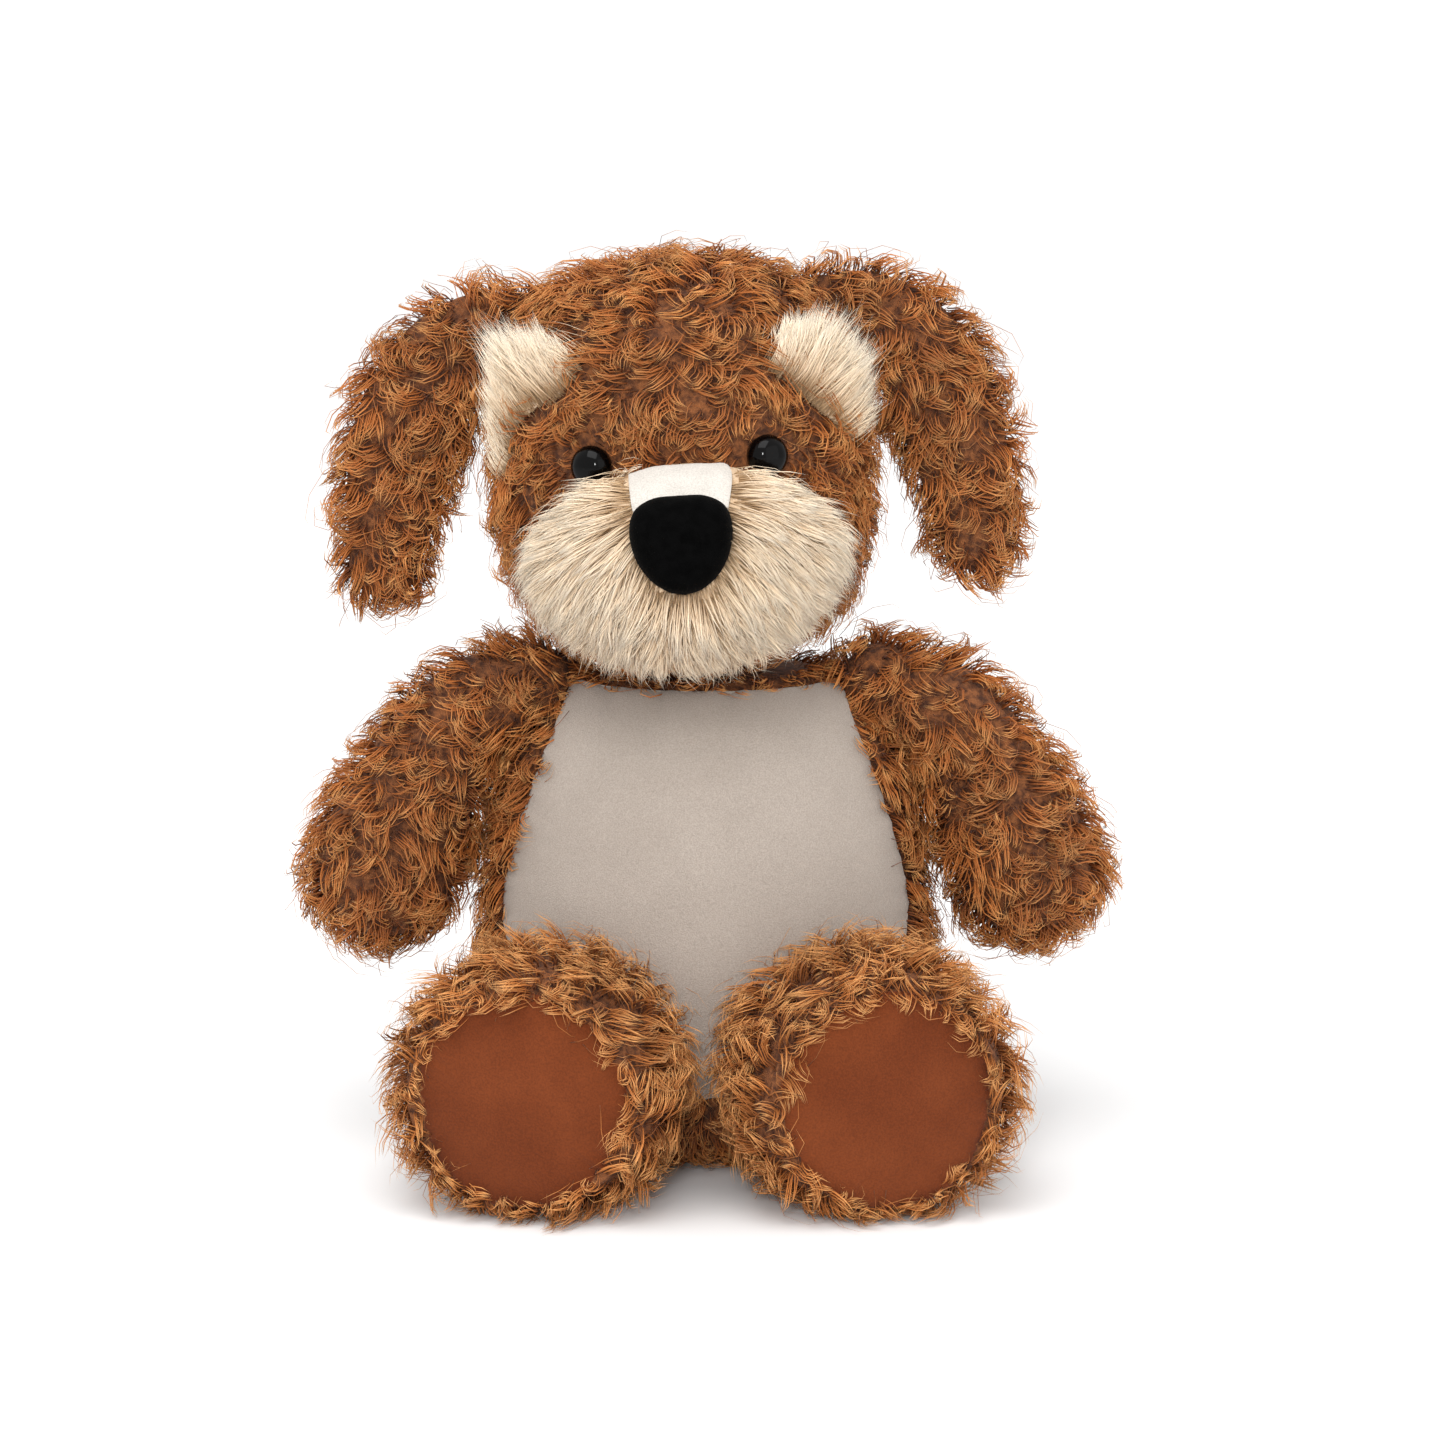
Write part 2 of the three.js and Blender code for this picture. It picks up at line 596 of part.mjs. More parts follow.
// The washer that locks the shank behind the fabric.
function washerForm() {
  const bore = EYE_SHANK_RADIUS + GAP;
  const top = -FABRIC - GAP - WASHER_SINK;
  const ring = [
    point(bore, top - WASHER_THICKNESS),
    point(WASHER_RADIUS, top - WASHER_THICKNESS),
    point(WASHER_RADIUS, top),
    point(bore, top),
    point(bore, top - WASHER_THICKNESS),
  ];
  return solid(turned(ring, SMALL_SIDES));
}

const rod = (radius, low, high) =>
  solid(new THREE.CylinderGeometry(radius, radius, high - low, SMALL_SIDES).rotateX(Math.PI / 2).translate(0, 0, (low + high) / 2));

function headGroup() {
  const group = hinged([0, 0, 0]);
  group.rotation.y = rad(-HEAD_ROLL);
  const socket = socketFor(NECK_BALL_RADIUS);
  const ears = sides.map(([side, name]) => earGroup(side, name));
  const earRooms = sides.map(([side], i) => earRoom(side, ears[i]));
  const eyes = sides.map(([side]) => onHead(side * EYE_HALF_SPACING, EYE_RISE));

  const shell = without(headForm(0), headForm(-FABRIC), socket, ...earRooms);
  const shankHoles = eyes.map((eye) => placed(rod(EYE_SHANK_RADIUS + GAP, -2 * FABRIC, FABRIC), eye));
  const browCuts = sides.map(([side]) => browTool(side, GAP));
  const washerFace = -FABRIC - WASHER_SINK;
  const washerBack = washerFace - WASHER_THICKNESS - 2 * GAP;
  const washerRooms = eyes.map((eye) => placed(rod(WASHER_RADIUS + GAP, washerBack, washerFace), eye));
  const skin = without(shell, muzzleForm(-FABRIC), ...shankHoles, ...washerRooms, ...browCuts);

  const eyePockets = eyes.flatMap((eye) => [
    placed(rod(WASHER_RADIUS + GAP, washerBack, FABRIC), eye),
    placed(rod(EYE_SHANK_RADIUS + GAP, -EYE_SHANK_LENGTH - GAP, 0), eye),
  ]);
  const core = headForm(-FABRIC - GAP).add(muzzleForm(-FABRIC - GAP));
  const filling = without(core, socket, ...earRooms, ...eyePockets);

  const eyeRooms = eyes.map((eye) => placed(rod(EYE_RADIUS + GAP, -EYE_SHANK_LENGTH, 2 * EYE_DOME), eye));
  const muzzleShell = without(muzzleForm(0), muzzleForm(-FABRIC), headForm(GAP), ...eyeRooms);
  const cheeks = without(muzzleShell, bridgeTool(GAP));

  group.add(
    piece("head_skin", skin, curlyPlush),
    piece("head_filling", filling, fibreFill),
    piece("muzzle_right", without(cheeks, beyond(X, -GAP / 2, 1)), longPlush),
    piece("muzzle_left", without(cheeks, beyond(X, GAP / 2, -1)), longPlush),
    piece("nose_bridge", muzzleShell.intersect(bridgeTool(0)), whitePlush),
    piece("nose_pad", noseForm(), blackPlush),
  );
  sides.forEach(([side, name], i) => {
    const eye = piece(`eye_${name}`, eyeForm(), eyePlastic);
    const washer = piece(`eye_washer_${name}`, washerForm(), washerPlastic);
    eye.applyMatrix4(eyes[i]);
    washer.applyMatrix4(eyes[i]);
    group.add(eye, washer, piece(`brow_${name}`, shell.intersect(browTool(side, 0)), longPlush), ears[i]);
  });
  return group;
}

// ---------------------------------------------------------------- assembly
function plushDog() {
  const dog = new THREE.Group();
  const neck = hinged([NECK_X, 0, TORSO_HEIGHT + NECK_RISE]);
  neck.add(piece("neck_filling", neckForm(0), fibreFill), headGroup());

  const arms = sides.map(([side, name]) => armGroup(side, name));
  const legs = sides.map(([side, name]) => legGroup(side, name));
  const tail = tailGroup();
  const room = [
    ...sides.map(([side], i) => armRoom(side, arms[i])),
    ...legs.map(legRoom),
    tailRoom(tail),
    placed(neckForm(JOINT_GAP), neck.matrix),
  ];

  const shell = without(torsoForm(0), torsoForm(-FABRIC), ...room);
  const front = (grow) => slab(panelOutline(grow), -REACH, 0);
  const filling = without(torsoForm(-FABRIC - GAP), ...room, pelletBagForm(GAP));
  dog.add(
    piece("torso_skin", without(shell, front(GAP)), curlyPlush),
    piece("tummy_panel", shell.intersect(front(0)), smoothPlush),
    piece("torso_filling", filling, fibreFill),
    piece("pellet_bag", without(pelletBagForm(0), ...room), pelletCloth),
    neck,
    ...arms,
    ...legs,
    tail,
  );

  // The origin is the middle of the footprint, on the surface it rests on.
  const box = new THREE.Box3().setFromObject(dog, true);
  const middle = box.getCenter(new THREE.Vector3());
  dog.position.set(-middle.x, -middle.y, -box.min.z);
  return dog;
}

const group = plushDog();

export default group;
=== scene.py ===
# %% [markdown]
# # A seated plush puppy
# The puppy is sewn from a curly brown pile fabric, with a pale tummy, suede soles, a long-haired cream
# muzzle and moulded eyes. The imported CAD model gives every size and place. This lesson dresses it: each
# stuffed part is a surface worked out from a formula, and the pile grows on it as real, thin geometry.

# %% Load the frame
import json
import math
import bpy
import numpy as np
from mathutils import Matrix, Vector


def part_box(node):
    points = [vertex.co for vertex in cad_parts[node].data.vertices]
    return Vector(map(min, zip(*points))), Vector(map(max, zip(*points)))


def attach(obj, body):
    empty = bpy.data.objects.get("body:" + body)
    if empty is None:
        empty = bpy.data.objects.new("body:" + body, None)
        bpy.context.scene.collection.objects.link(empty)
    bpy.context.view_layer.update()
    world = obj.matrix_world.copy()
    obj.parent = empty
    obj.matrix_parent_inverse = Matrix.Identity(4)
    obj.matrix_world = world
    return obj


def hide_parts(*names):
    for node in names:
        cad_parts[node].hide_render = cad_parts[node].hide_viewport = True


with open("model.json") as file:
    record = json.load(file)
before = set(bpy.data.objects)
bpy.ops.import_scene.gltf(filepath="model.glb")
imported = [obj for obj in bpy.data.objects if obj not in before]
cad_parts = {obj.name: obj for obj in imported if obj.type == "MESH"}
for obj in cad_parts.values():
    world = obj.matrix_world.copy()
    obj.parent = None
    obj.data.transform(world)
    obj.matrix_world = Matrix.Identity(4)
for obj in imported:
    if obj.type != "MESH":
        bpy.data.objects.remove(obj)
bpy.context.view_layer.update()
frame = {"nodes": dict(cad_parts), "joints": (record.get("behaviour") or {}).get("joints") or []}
MM = 0.001
NODES = frame["nodes"]
HINGES = {j["name"]: np.array(j["pos_m"], float) for j in frame["joints"]}
SIDES = (("right", -1), ("left", 1))
print("nodes", len(NODES), "hinges", sorted(HINGES))

# %% [markdown]
# ## The camera
# A toy like this is best seen from a little above its middle through a long lens, which keeps the feet and
# the nose from growing. The camera could be placed by hand, but worked out from the toy's height and the
# line of its neck it stays aimed when a size changes.

# %% Camera
VIEW_DISTANCE = 1.10
VIEW_ELEVATION = math.radians(9.5)
LENS = 91.4
SIDE_STEP = 5 * MM
AIM_SHARE = 0.479  # of the toy's height


def box_of(*nodes):
    """The lowest and highest corner of several nodes together, as arrays."""
    corners = [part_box(n) for n in nodes]
    return np.min([c[0] for c in corners], 0), np.max([c[1] for c in corners], 0)


_, toy_high = box_of(*NODES)
aim = Vector((SIDE_STEP, HINGES["head_turn"][1], AIM_SHARE * toy_high[2]))
camera = bpy.data.objects.new("camera", bpy.data.cameras.new("camera"))
bpy.context.scene.collection.objects.link(camera)
camera.data.lens = LENS
back = Vector((0, -math.cos(VIEW_ELEVATION), math.sin(VIEW_ELEVATION)))
camera.location = aim + VIEW_DISTANCE * back
camera.rotation_mode = "QUATERNION"
camera.rotation_quaternion = (-back).to_track_quat("-Z", "Y")
bpy.context.scene.camera = camera
print("camera at", [round(c, 3) for c in camera.location])

# %% [markdown]
# ## The lamps
# The light is that of a white room: one large soft box over the camera's left shoulder, a weaker one on
# the right, and a small one in front that puts a single bright spot on each polished eye. Area lights are
# used rather than points, because a curly pile under a point light breaks up into hard black shadows.

# %% Lamps
LAMPS = {  # where it hangs and how wide it is, in metres, and its watts
    "key_light": ((-0.25, -0.75, 1.7), 1.3, 19),
    "fill_light": ((0.9, -1.0, 0.5), 1.2, 2.5),
    "catch_light": ((-0.05, -1.0, 0.42), 0.12, 4),
}


def soft_box(name, place, size, watts):
    """A square area light that looks at the toy's middle."""
    light = bpy.data.lights.new(name, "AREA")
    light.shape = "SQUARE"
    light.size = size
    light.energy = watts
    lamp = bpy.data.objects.new(name, light)
    lamp.location = Vector(place)
    lamp.rotation_mode = "QUATERNION"
    lamp.rotation_quaternion = (Vector(place) - aim).to_track_quat("Z", "Y")
    bpy.context.scene.collection.objects.link(lamp)


for lamp_name, (lamp_place, lamp_size, lamp_watts) in LAMPS.items():
    soft_box(lamp_name, lamp_place, lamp_size, lamp_watts)
print("lamps", list(LAMPS))

# %% [markdown]
# ## The room and its floor
# The floor and the backdrop are one white sheet. A floor as bright as the world would hide its seam but
# wash out the toy's shadow, so the sheet carries painted shade: it is darker near the toy, where the lamps
# light it most, and brightens with distance. Its colour follows the distance from the origin on Object
# coordinates, through one Map Range node.

# %% World and floor
WORLD_STRENGTH = 1.04
FLOOR_WIDTH = 8  # metres
FLOOR_DROP = 0.4 * MM  # keeps the floor clear of the toy's seat
# painted shade: the floor is darker near the toy, where the lamps light it most
FLOOR_NEAR_PAINTED_SHADE = 0.82
FLOOR_FAR = 0.98
FLOOR_SPREAD = (0.15, 1.6)  # metres from the toy over which it brightens

bpy.context.scene.view_settings.view_transform = "Standard"
world = bpy.data.worlds.new("white_room")
world.use_nodes = True
world.node_tree.nodes["Background"].inputs["Color"].default_value = (1, 1, 1, 1)
world.node_tree.nodes["Background"].inputs["Strength"].default_value = WORLD_STRENGTH
bpy.context.scene.world = world



def painted_shade_floor_finish():
    """White with painted shade near the toy: it goes from FLOOR_NEAR_PAINTED_SHADE to FLOOR_FAR as the
    distance from the toy crosses FLOOR_SPREAD.
    """
    look = bpy.data.materials.new("floor_painted_shade")
    look.use_nodes = True
    tree = look.node_tree
    where = tree.nodes.new("ShaderNodeTexCoord")
    distance = tree.nodes.new("ShaderNodeVectorMath")
    distance.operation = "LENGTH"
    fade = tree.nodes.new("ShaderNodeMapRange")
    sockets = ("From Min", "From Max", "To Min", "To Max")
    for socket, value in zip(sockets, (*FLOOR_SPREAD, FLOOR_NEAR_PAINTED_SHADE, FLOOR_FAR)):
        fade.inputs[socket].default_value = value
    tree.links.new(where.outputs["Object"], distance.inputs[0])
    tree.links.new(distance.outputs["Value"], fade.inputs["Value"])
    tree.links.new(fade.outputs["Result"], tree.nodes["Principled BSDF"].inputs["Base Color"])
    tree.nodes["Principled BSDF"].inputs["Roughness"].default_value = 0.8
    return look


bpy.ops.mesh.primitive_plane_add(size=FLOOR_WIDTH, location=(0, 0, -FLOOR_DROP))
floor = bpy.context.object
floor.name = "floor"
floor.data.materials.append(painted_shade_floor_finish())
print("floor", floor.dimensions[:2])

# %% [markdown]
# ## Surfaces from profiles
# Nearly every stuffed part is a profile turned about a line: the torso and head about an upright one,
# the limbs about a bent spine. So one description serves all of them: radius and distance along the
# line, from pole to pole, and a function that places those numbers in space. A sculpted mesh could do
# the same, but a formula gives exact normals, which the pile needs to grow straight out of the cloth.

# %% Curves and profiles
DENSE = 240  # points kept along a profile or a spine
CAP_POINTS = 30  # of them, at first, on each rounded end


def unit(v):
    """Vectors scaled to length 1, along the last axis."""
    return v / np.maximum(np.linalg.norm(v, axis=-1, keepdims=True), 1e-12)


def through(points, count=DENSE):
    """A smooth curve through points, Catmull-Rom: each span is a cubic whose end slopes are half the
    step between the neighbours on either side, and the curve is then spaced evenly by length."""
    p = np.asarray(points, float)
    p = np.vstack([2 * p[0] - p[1], p, 2 * p[-1] - p[-2]])
    spans = []
    for a, b, c, d in zip(p[:-3], p[1:-2], p[2:-1], p[3:]):
        s = np.linspace(0, 1, 40)[:, None]
        bend = 2 * a - 5 * b + 4 * c - d
        twist = 3 * b - a - 3 * c + d
        spans.append((2 * b + (c - a) * s + bend * s**2 + twist * s**3) / 2)
    line = np.vstack(spans)
    along = np.r_[0, np.cumsum(np.linalg.norm(np.diff(line, axis=0), axis=1))]
    at = np.linspace(0, along[-1], count)
    return np.stack([np.interp(at, along, line[:, k]) for k in range(p.shape[1])], 1)


def round_ended(stations):
    """A tube's profile with a half ball at each end: rows of (radius, distance along the line)."""
    stations = np.asarray(stations, float)
    turn = np.linspace(0, np.pi / 2, CAP_POINTS)
    (first, start), (last, stop) = stations[0], stations[-1]
    root = np.stack([first * np.sin(turn), start - first * np.cos(turn)], 1)
    tip = np.stack([last * np.cos(turn), stop + last * np.sin(turn)], 1)
    return even(np.vstack([root, through(stations)[1:-1], tip]))


def even(profile):
    """The profile again, with points evenly spaced along it."""
    along = np.r_[0, np.cumsum(np.linalg.norm(np.diff(profile, axis=0), axis=1))]
    at = np.linspace(0, along[-1], DENSE)
    return np.stack([np.interp(at, along, profile[:, k]) for k in range(2)], 1)


def superellipse(radius, half_height, squareness):
    """Half an oval from pole to pole, |r/R|^n + |h/H|^n = 1: n is 2 for an ellipse, more is boxier."""
    turn = np.linspace(-np.pi / 2, np.pi / 2, 400)
    out = np.abs(np.cos(turn)) ** (2 / squareness)
    up = np.sign(np.sin(turn)) * np.abs(np.sin(turn)) ** (2 / squareness)
    return even(np.stack([radius * out, half_height * up], 1))


print("a round-ended profile has", len(round_ended([[1, 0], [1, 0.5], [1, 1]])), "points")

# %% [markdown]
# ## Placing a profile in space
# A profile is only numbers until it is carried somewhere. It is turned about a straight line for the
# torso, the head and the eyes, and carried along a bent spine for the limbs. A Spin or a Curve object
# with a taper could do this too, but these functions can be asked for a point at any place, and the
# pile later asks them for its roots. lie() also gives the normal there, and which way the form runs.

# %% Turned forms, bent forms and what lies on them
POLE_MARGIN = 0.004  # of t: at a pole itself there is no way round
SMALL_STEP = 0.003  # of t and phi, for slopes


def turned(profile, centre, axes, scale=(1, 1)):
    """A surface of (t, phi): t runs from pole to pole and phi round the line. A point is
    centre + r cos(phi) A + r sin(phi) B + h C, with r and h read from the profile at t."""
    a, b, c = (np.asarray(v, float) for v in axes)
    share = np.linspace(0, 1, len(profile))

    def surface(t, phi):
        """The point at t and phi."""
        r = np.interp(t, share, profile[:, 0])[..., None]
        h = np.interp(t, share, profile[:, 1])[..., None]
        phi = np.asarray(phi)[..., None]
        return centre + r * np.cos(phi) * scale[0] * a + r * np.sin(phi) * scale[1] * b + h * c

    surface.profile = profile
    return surface


def bent(profile, spine, depth, flatness=1.0):
    """The same, along a spine: h is the distance along it, running straight on past both ends, and a
    point is C(h) + r cos(phi) S(h) + r sin(phi) flatness D, with D the fixed depth direction and S the
    cross product of D and the tangent."""
    length = np.linalg.norm(np.diff(spine, axis=0), axis=1).sum()
    at = np.linspace(0, length, len(spine))
    tangents = unit(np.gradient(spine, at, axis=0))
    share = np.linspace(0, 1, len(profile))
    depth = unit(np.asarray(depth, float))

    def surface(t, phi):
        """The point at t and phi."""
        r = np.interp(t, share, profile[:, 0])[..., None]
        h = np.interp(t, share, profile[:, 1])
        held = np.clip(h, 0, length)
        middle = np.stack([np.interp(held, at, spine[:, k]) for k in range(3)], -1)
        tangent = unit(np.stack([np.interp(held, at, tangents[:, k]) for k in range(3)], -1))
        middle = middle + (h - held)[..., None] * tangent
        across = unit(np.cross(depth, tangent))
        phi = np.asarray(phi)[..., None]
        return middle + r * np.cos(phi) * across + r * np.sin(phi) * flatness * depth

    surface.profile = profile
    return surface


def lie(surface, t, phi):
    """Points on a surface with their outward normals and the direction in which t grows, all by
    small steps each way: the normal is the cross product of the two tangents."""
    t, phi = np.clip(t, POLE_MARGIN, 1 - POLE_MARGIN), np.asarray(phi)
    along = surface(t + SMALL_STEP, phi) - surface(t - SMALL_STEP, phi)
    around = surface(t, phi + SMALL_STEP) - surface(t, phi - SMALL_STEP)
    return surface(t, phi), unit(np.cross(around, along)), unit(along)


ball = turned(superellipse(1, 1, 2), np.zeros(3), np.eye(3))
print("a ball's normal at its side", lie(ball, np.array([0.5]), np.array([0.0]))[1].round(3))

# %% [markdown]
# ## Meshes from arrays
# Thousands of strands would take minutes with bmesh, one face at a time. Here every mesh is whole arrays
# of points and corners, handed over at once by foreach_set. The same place makes sure that the faces point
# outwards, that nothing dips below the floor, and that the stuffed forms have soft lumps.

# %% Meshes from arrays
FLOOR_EASE = 3 * MM  # hair nearer the floor than this is pressed flat
DRIFT_WAVES = 6
DRIFT_GAIN = 1.7  # brings the mean of the waves back to about 1


def above_floor(points):
    """Heights below FLOOR_EASE fold up as e * exp(z / e - 1), which never reaches the floor."""
    z = points[..., 2]
    folded = FLOOR_EASE * np.exp(np.minimum(z / FLOOR_EASE - 1, 0))
    points[..., 2] = np.where(z < FLOOR_EASE, folded, z)
    return points


def mesh_object(name, points, corners, starts, uv=None):
    """Points, the corners of all faces in a row and where each face starts make a mesh object. The
    signed volume, a sum of triple products, tells whether its faces point in, and turns them if so."""
    ends = np.r_[starts[1:], len(corners)]
    a, b, c = (points[corners[starts + k]] for k in range(3))
    d = points[corners[ends - 1]]
    volume = np.einsum("ij,ij->", a, np.cross(b, c)) + np.einsum("ij,ij->", a, np.cross(c, d))
    if volume < 0:
        flip = np.repeat(starts + ends - 1, ends - starts) - np.arange(len(corners))
        corners = corners[flip]
        uv = None if uv is None else uv[flip]
    mesh = bpy.data.meshes.new(name)
    mesh.vertices.add(len(points))
    mesh.vertices.foreach_set("co", points.astype(np.float32).ravel())
    mesh.loops.add(len(corners))
    mesh.loops.foreach_set("vertex_index", corners.astype(np.int32))
    mesh.polygons.add(len(starts))
    mesh.polygons.foreach_set("loop_start", starts.astype(np.int32))
    mesh.polygons.foreach_set("use_smooth", np.ones(len(starts), bool))
    if uv is not None:
        layer = mesh.uv_layers.new(name="OFBake")
        layer.uv.foreach_set("vector", uv.astype(np.float32).ravel())
    mesh.update(calc_edges=True)
    piece = bpy.data.objects.new(name, mesh)
    bpy.context.scene.collection.objects.link(piece)
    return piece


def closed_form(name, surface, rows, columns):
    """A surface of (t, phi) on a grid that is closed round phi, with one point at each pole."""
    levels, turns = np.linspace(0, 1, rows + 1)[1:-1], np.arange(columns) * 2 * np.pi / columns
    t, phi = np.meshgrid(levels, turns, indexing="ij")
    poles = surface(np.array([0.0, 1.0]), np.zeros(2))
    points = above_floor(np.vstack([surface(t.ravel(), phi.ravel()), poles]))
    at = np.arange((rows - 1) * columns).reshape(rows - 1, columns)
    beside = np.roll(at, -1, 1)
    quads = np.stack([at[:-1], beside[:-1], beside[1:], at[1:]], -1).reshape(-1, 4)
    low, high = len(points) - 2, len(points) - 1
    first = np.stack([np.full(columns, low), beside[0], at[0]], -1)
    last = np.stack([np.full(columns, high), at[-1], beside[-1]], -1)
    corners = np.r_[quads.ravel(), first.ravel(), last.ravel()]
    starts = np.r_[np.arange(len(quads)) * 4, 4 * len(quads) + 3 * np.arange(2 * columns)]
    return mesh_object(name, points, corners, starts)


def drift(points, wavelength, seed):
    """A slowly wandering number, mostly -1 to 1: the mean of six sine waves in random directions."""
    rng = np.random.default_rng(seed)
    ways = unit(rng.normal(size=(DRIFT_WAVES, 3))) * 2 * np.pi / wavelength
    return DRIFT_GAIN * np.sin(points @ ways.T + rng.uniform(0, 2 * np.pi, DRIFT_WAVES)).mean(-1)


def lumpy(surface, height, wavelength, seed):
    """The surface with soft lumps of stuffing: each point moves out by height times a drift."""
    def swollen(t, phi):
        """The lumpy point at t and phi."""
        points, normals, _ = lie(surface, t, phi)
        return surface(t, phi) + normals * (height * drift(points, wavelength, seed))[..., None]

    return swollen


far_and_near = np.array([[0.0, 0.0, 0.0], [0.5, 0.5, 0.5]])
print("drift at two places", drift(far_and_near, 0.03, 1).round(2))

# %% [markdown]
# ## How the pile grows
# Curly plush is a fabric whose fibres stand in small locks, each bent over and turned aside like a
# comma. Hair particles would show it, but they are neither geometry nor repeatable outside Blender. Here a
# lock is a centre line that starts steep and tips over, with a few tapering strands that draw together at
# its tip and one or two loose ones. A strand is a closed three-sided prism of 22 triangles or fewer.
#
# First come the roots. They could be picked at random, but random roots leave bald spots, so they follow
# the golden angle, as the seeds of a sunflower do, and are only then shaken a little.

# %% Roots and combing
GOLDEN_ANGLE = np.pi * (3 - 5**0.5)
TRIANGLE_SHARE = 0.87  # a root's area over the square of the spacing, as in a triangular lattice


def scatter(surface, spacing, seed, wobble=0.45):
    """Roots spread evenly over a turned form: t divides the area into equal steps, since a band's area
    is proportional to its radius, and each root stands the golden angle further round than the last."""
    rng = np.random.default_rng(seed)
    radius = surface.profile[:, 0]
    step = np.linalg.norm(np.diff(surface.profile, axis=0), axis=1)
    area = np.r_[0, np.cumsum((radius[1:] + radius[:-1]) / 2 * step)]
    count = int(2 * np.pi * area[-1] / (TRIANGLE_SHARE * spacing**2))
    share = np.linspace(0, 1, len(radius))
    t = np.interp((np.arange(count) + 0.5) / count, area / area[-1], share)
    t = t + rng.normal(0, wobble * spacing, count) / step.sum()
    here = np.maximum(np.interp(t, share, radius), spacing)
    phi = np.arange(count) * GOLDEN_ANGLE + rng.normal(0, wobble * spacing, count) / here
    return lie(surface, t, phi)


def combed(normals, pull, sway):
    """The tangent direction of a pull, turned about the normal by the angle sway."""
    flow = unit(pull - np.einsum("ij,ij->i", pull, normals)[:, None] * normals)
    side = np.cross(normals, flow)
    return flow * np.cos(sway)[:, None] + side * np.sin(sway)[:, None]


print("roots on a ball of 1 m, 100 mm apart", len(scatter(ball, 100 * MM, 1)[0]))

# %% [markdown]
# ## Locks and strands
# A lock is drawn as the fabric makes it. The centre line is added up from short steps whose direction
# turns from upright at the root to drooping and hooked at the tip. The strands then lie beside it. All
# the locks of a piece are one array of (lock, strand, ring, side), so there is no loop over strands.

# %% Locks and strands
TONES = 48  # columns of colour that strands choose from
LOCK_FILL = 1.15  # how wide a lock's strands are laid side by side
LOOSE_WIDTH = 0.45  # of a strand's width
LOOSE_LENGTH = 1.15  # of a strand's length
CURL_PATCH = 14 * MM  # neighbours within this mostly curl the same way


def strands(name, roots, normals, flows, style, seed, trim=1.0):
    """Locks as one mesh. A lock's line starts at its root and steps in the direction
    cos(rise) (cos(turn) flow + sin(turn) side) + sin(rise) normal, rise falling and turn growing with
    the share s of its length. Its strands lie beside the line, spread * (1 - s) + pinch * s apart, and a
    strand's half width is width * (1 - s) ** taper. The last few strands of a lock are loose: thinner,
    longer and further from the line. Trim shortens a lock."""
    rng = np.random.default_rng(seed)
    n, k = len(roots), style["strands"]
    rings = style["rings"]
    s = np.linspace(0, 1, rings + 1)
    half = (s[1:] + s[:-1]) / 2

    def between(key):
        """A random number for each lock, within the style's limits."""
        return rng.uniform(*style[key], n)

    length = between("length") * MM * trim
    start, stop = np.radians(between("root_rise")), np.radians(between("tip_rise"))
    hand = np.where(drift(roots, CURL_PATCH, seed + 1) + rng.normal(0, 0.3, n) < 0, -1, 1)
    curl = hand * np.radians(between("curl"))
    side = np.cross(normals, flows)

    def heading(share):
        """The level direction of every lock at a share of its length."""
        turn = (curl[:, None] * share ** style["hook"])[..., None]
        return flows[:, None] * np.cos(turn) + side[:, None] * np.sin(turn)

    rise = (start[:, None] + (stop - start)[:, None] * half)[..., None]
    steps = np.cos(rise) * heading(half) + np.sin(rise) * normals[:, None]
    line = np.concatenate([np.zeros((n, 1, 3)), np.cumsum(steps, 1)], 1) * length[:, None, None] / rings
    across = np.cross(heading(s), normals[:, None])
    along = unit(np.gradient(line, axis=1))
    up = np.cross(across, along)
    apart = (style["spread"] * (1 - s) ** 0.8 + style["pinch"] * s) * MM
    loose = np.arange(k) >= k - style["loose"]
    place = np.where(loose, 0, np.linspace(-1, 1, k)) * LOCK_FILL
    beside = place + rng.normal(0, np.where(loose, 1.8, 0.35), (n, k))
    over = rng.normal(0, np.where(loose, 1.2, 0.5), (n, k))
    stretch = (rng.uniform(style["uneven"], 1, (n, k)) * np.where(loose, LOOSE_LENGTH, 1))[:, :, None, None]
    middle = roots[:, None, None] + line[:, None] * stretch
    middle = middle + across[:, None] * (beside[:, :, None] * apart)[..., None]
    middle = middle + up[:, None] * (over[:, :, None] * apart)[..., None]
    wide = style["width"] * MM * np.where(loose, LOOSE_WIDTH, 1)[:, None]
    wide = (wide * (np.maximum(1 - s, 0) ** style["taper"])[None])[None, :, :rings, None]
    corners = []
    for turn in np.radians((90, 210, 330)):
        offset = np.cos(turn) * across + np.sin(turn) * style["flat"] * up
        corners.append(middle[:, :, :rings] + wide * offset[:, None, :rings])
    sections = np.stack(corners, 3).reshape(n * k, rings * 3, 3)
    points = above_floor(np.concatenate([sections, middle[:, :, rings].reshape(n * k, 1, 3)], 1))
    tone = np.clip(0.5 + 0.28 * drift(roots, style["patch"] * MM, seed) + rng.normal(0, 0.16, n), 0, 1)
    tone = np.clip(tone[:, None] + rng.normal(0, style["mottle"], (n, k)), 0, 0.999).ravel()
    return strand_mesh(name, points, np.floor(tone * TONES), s)


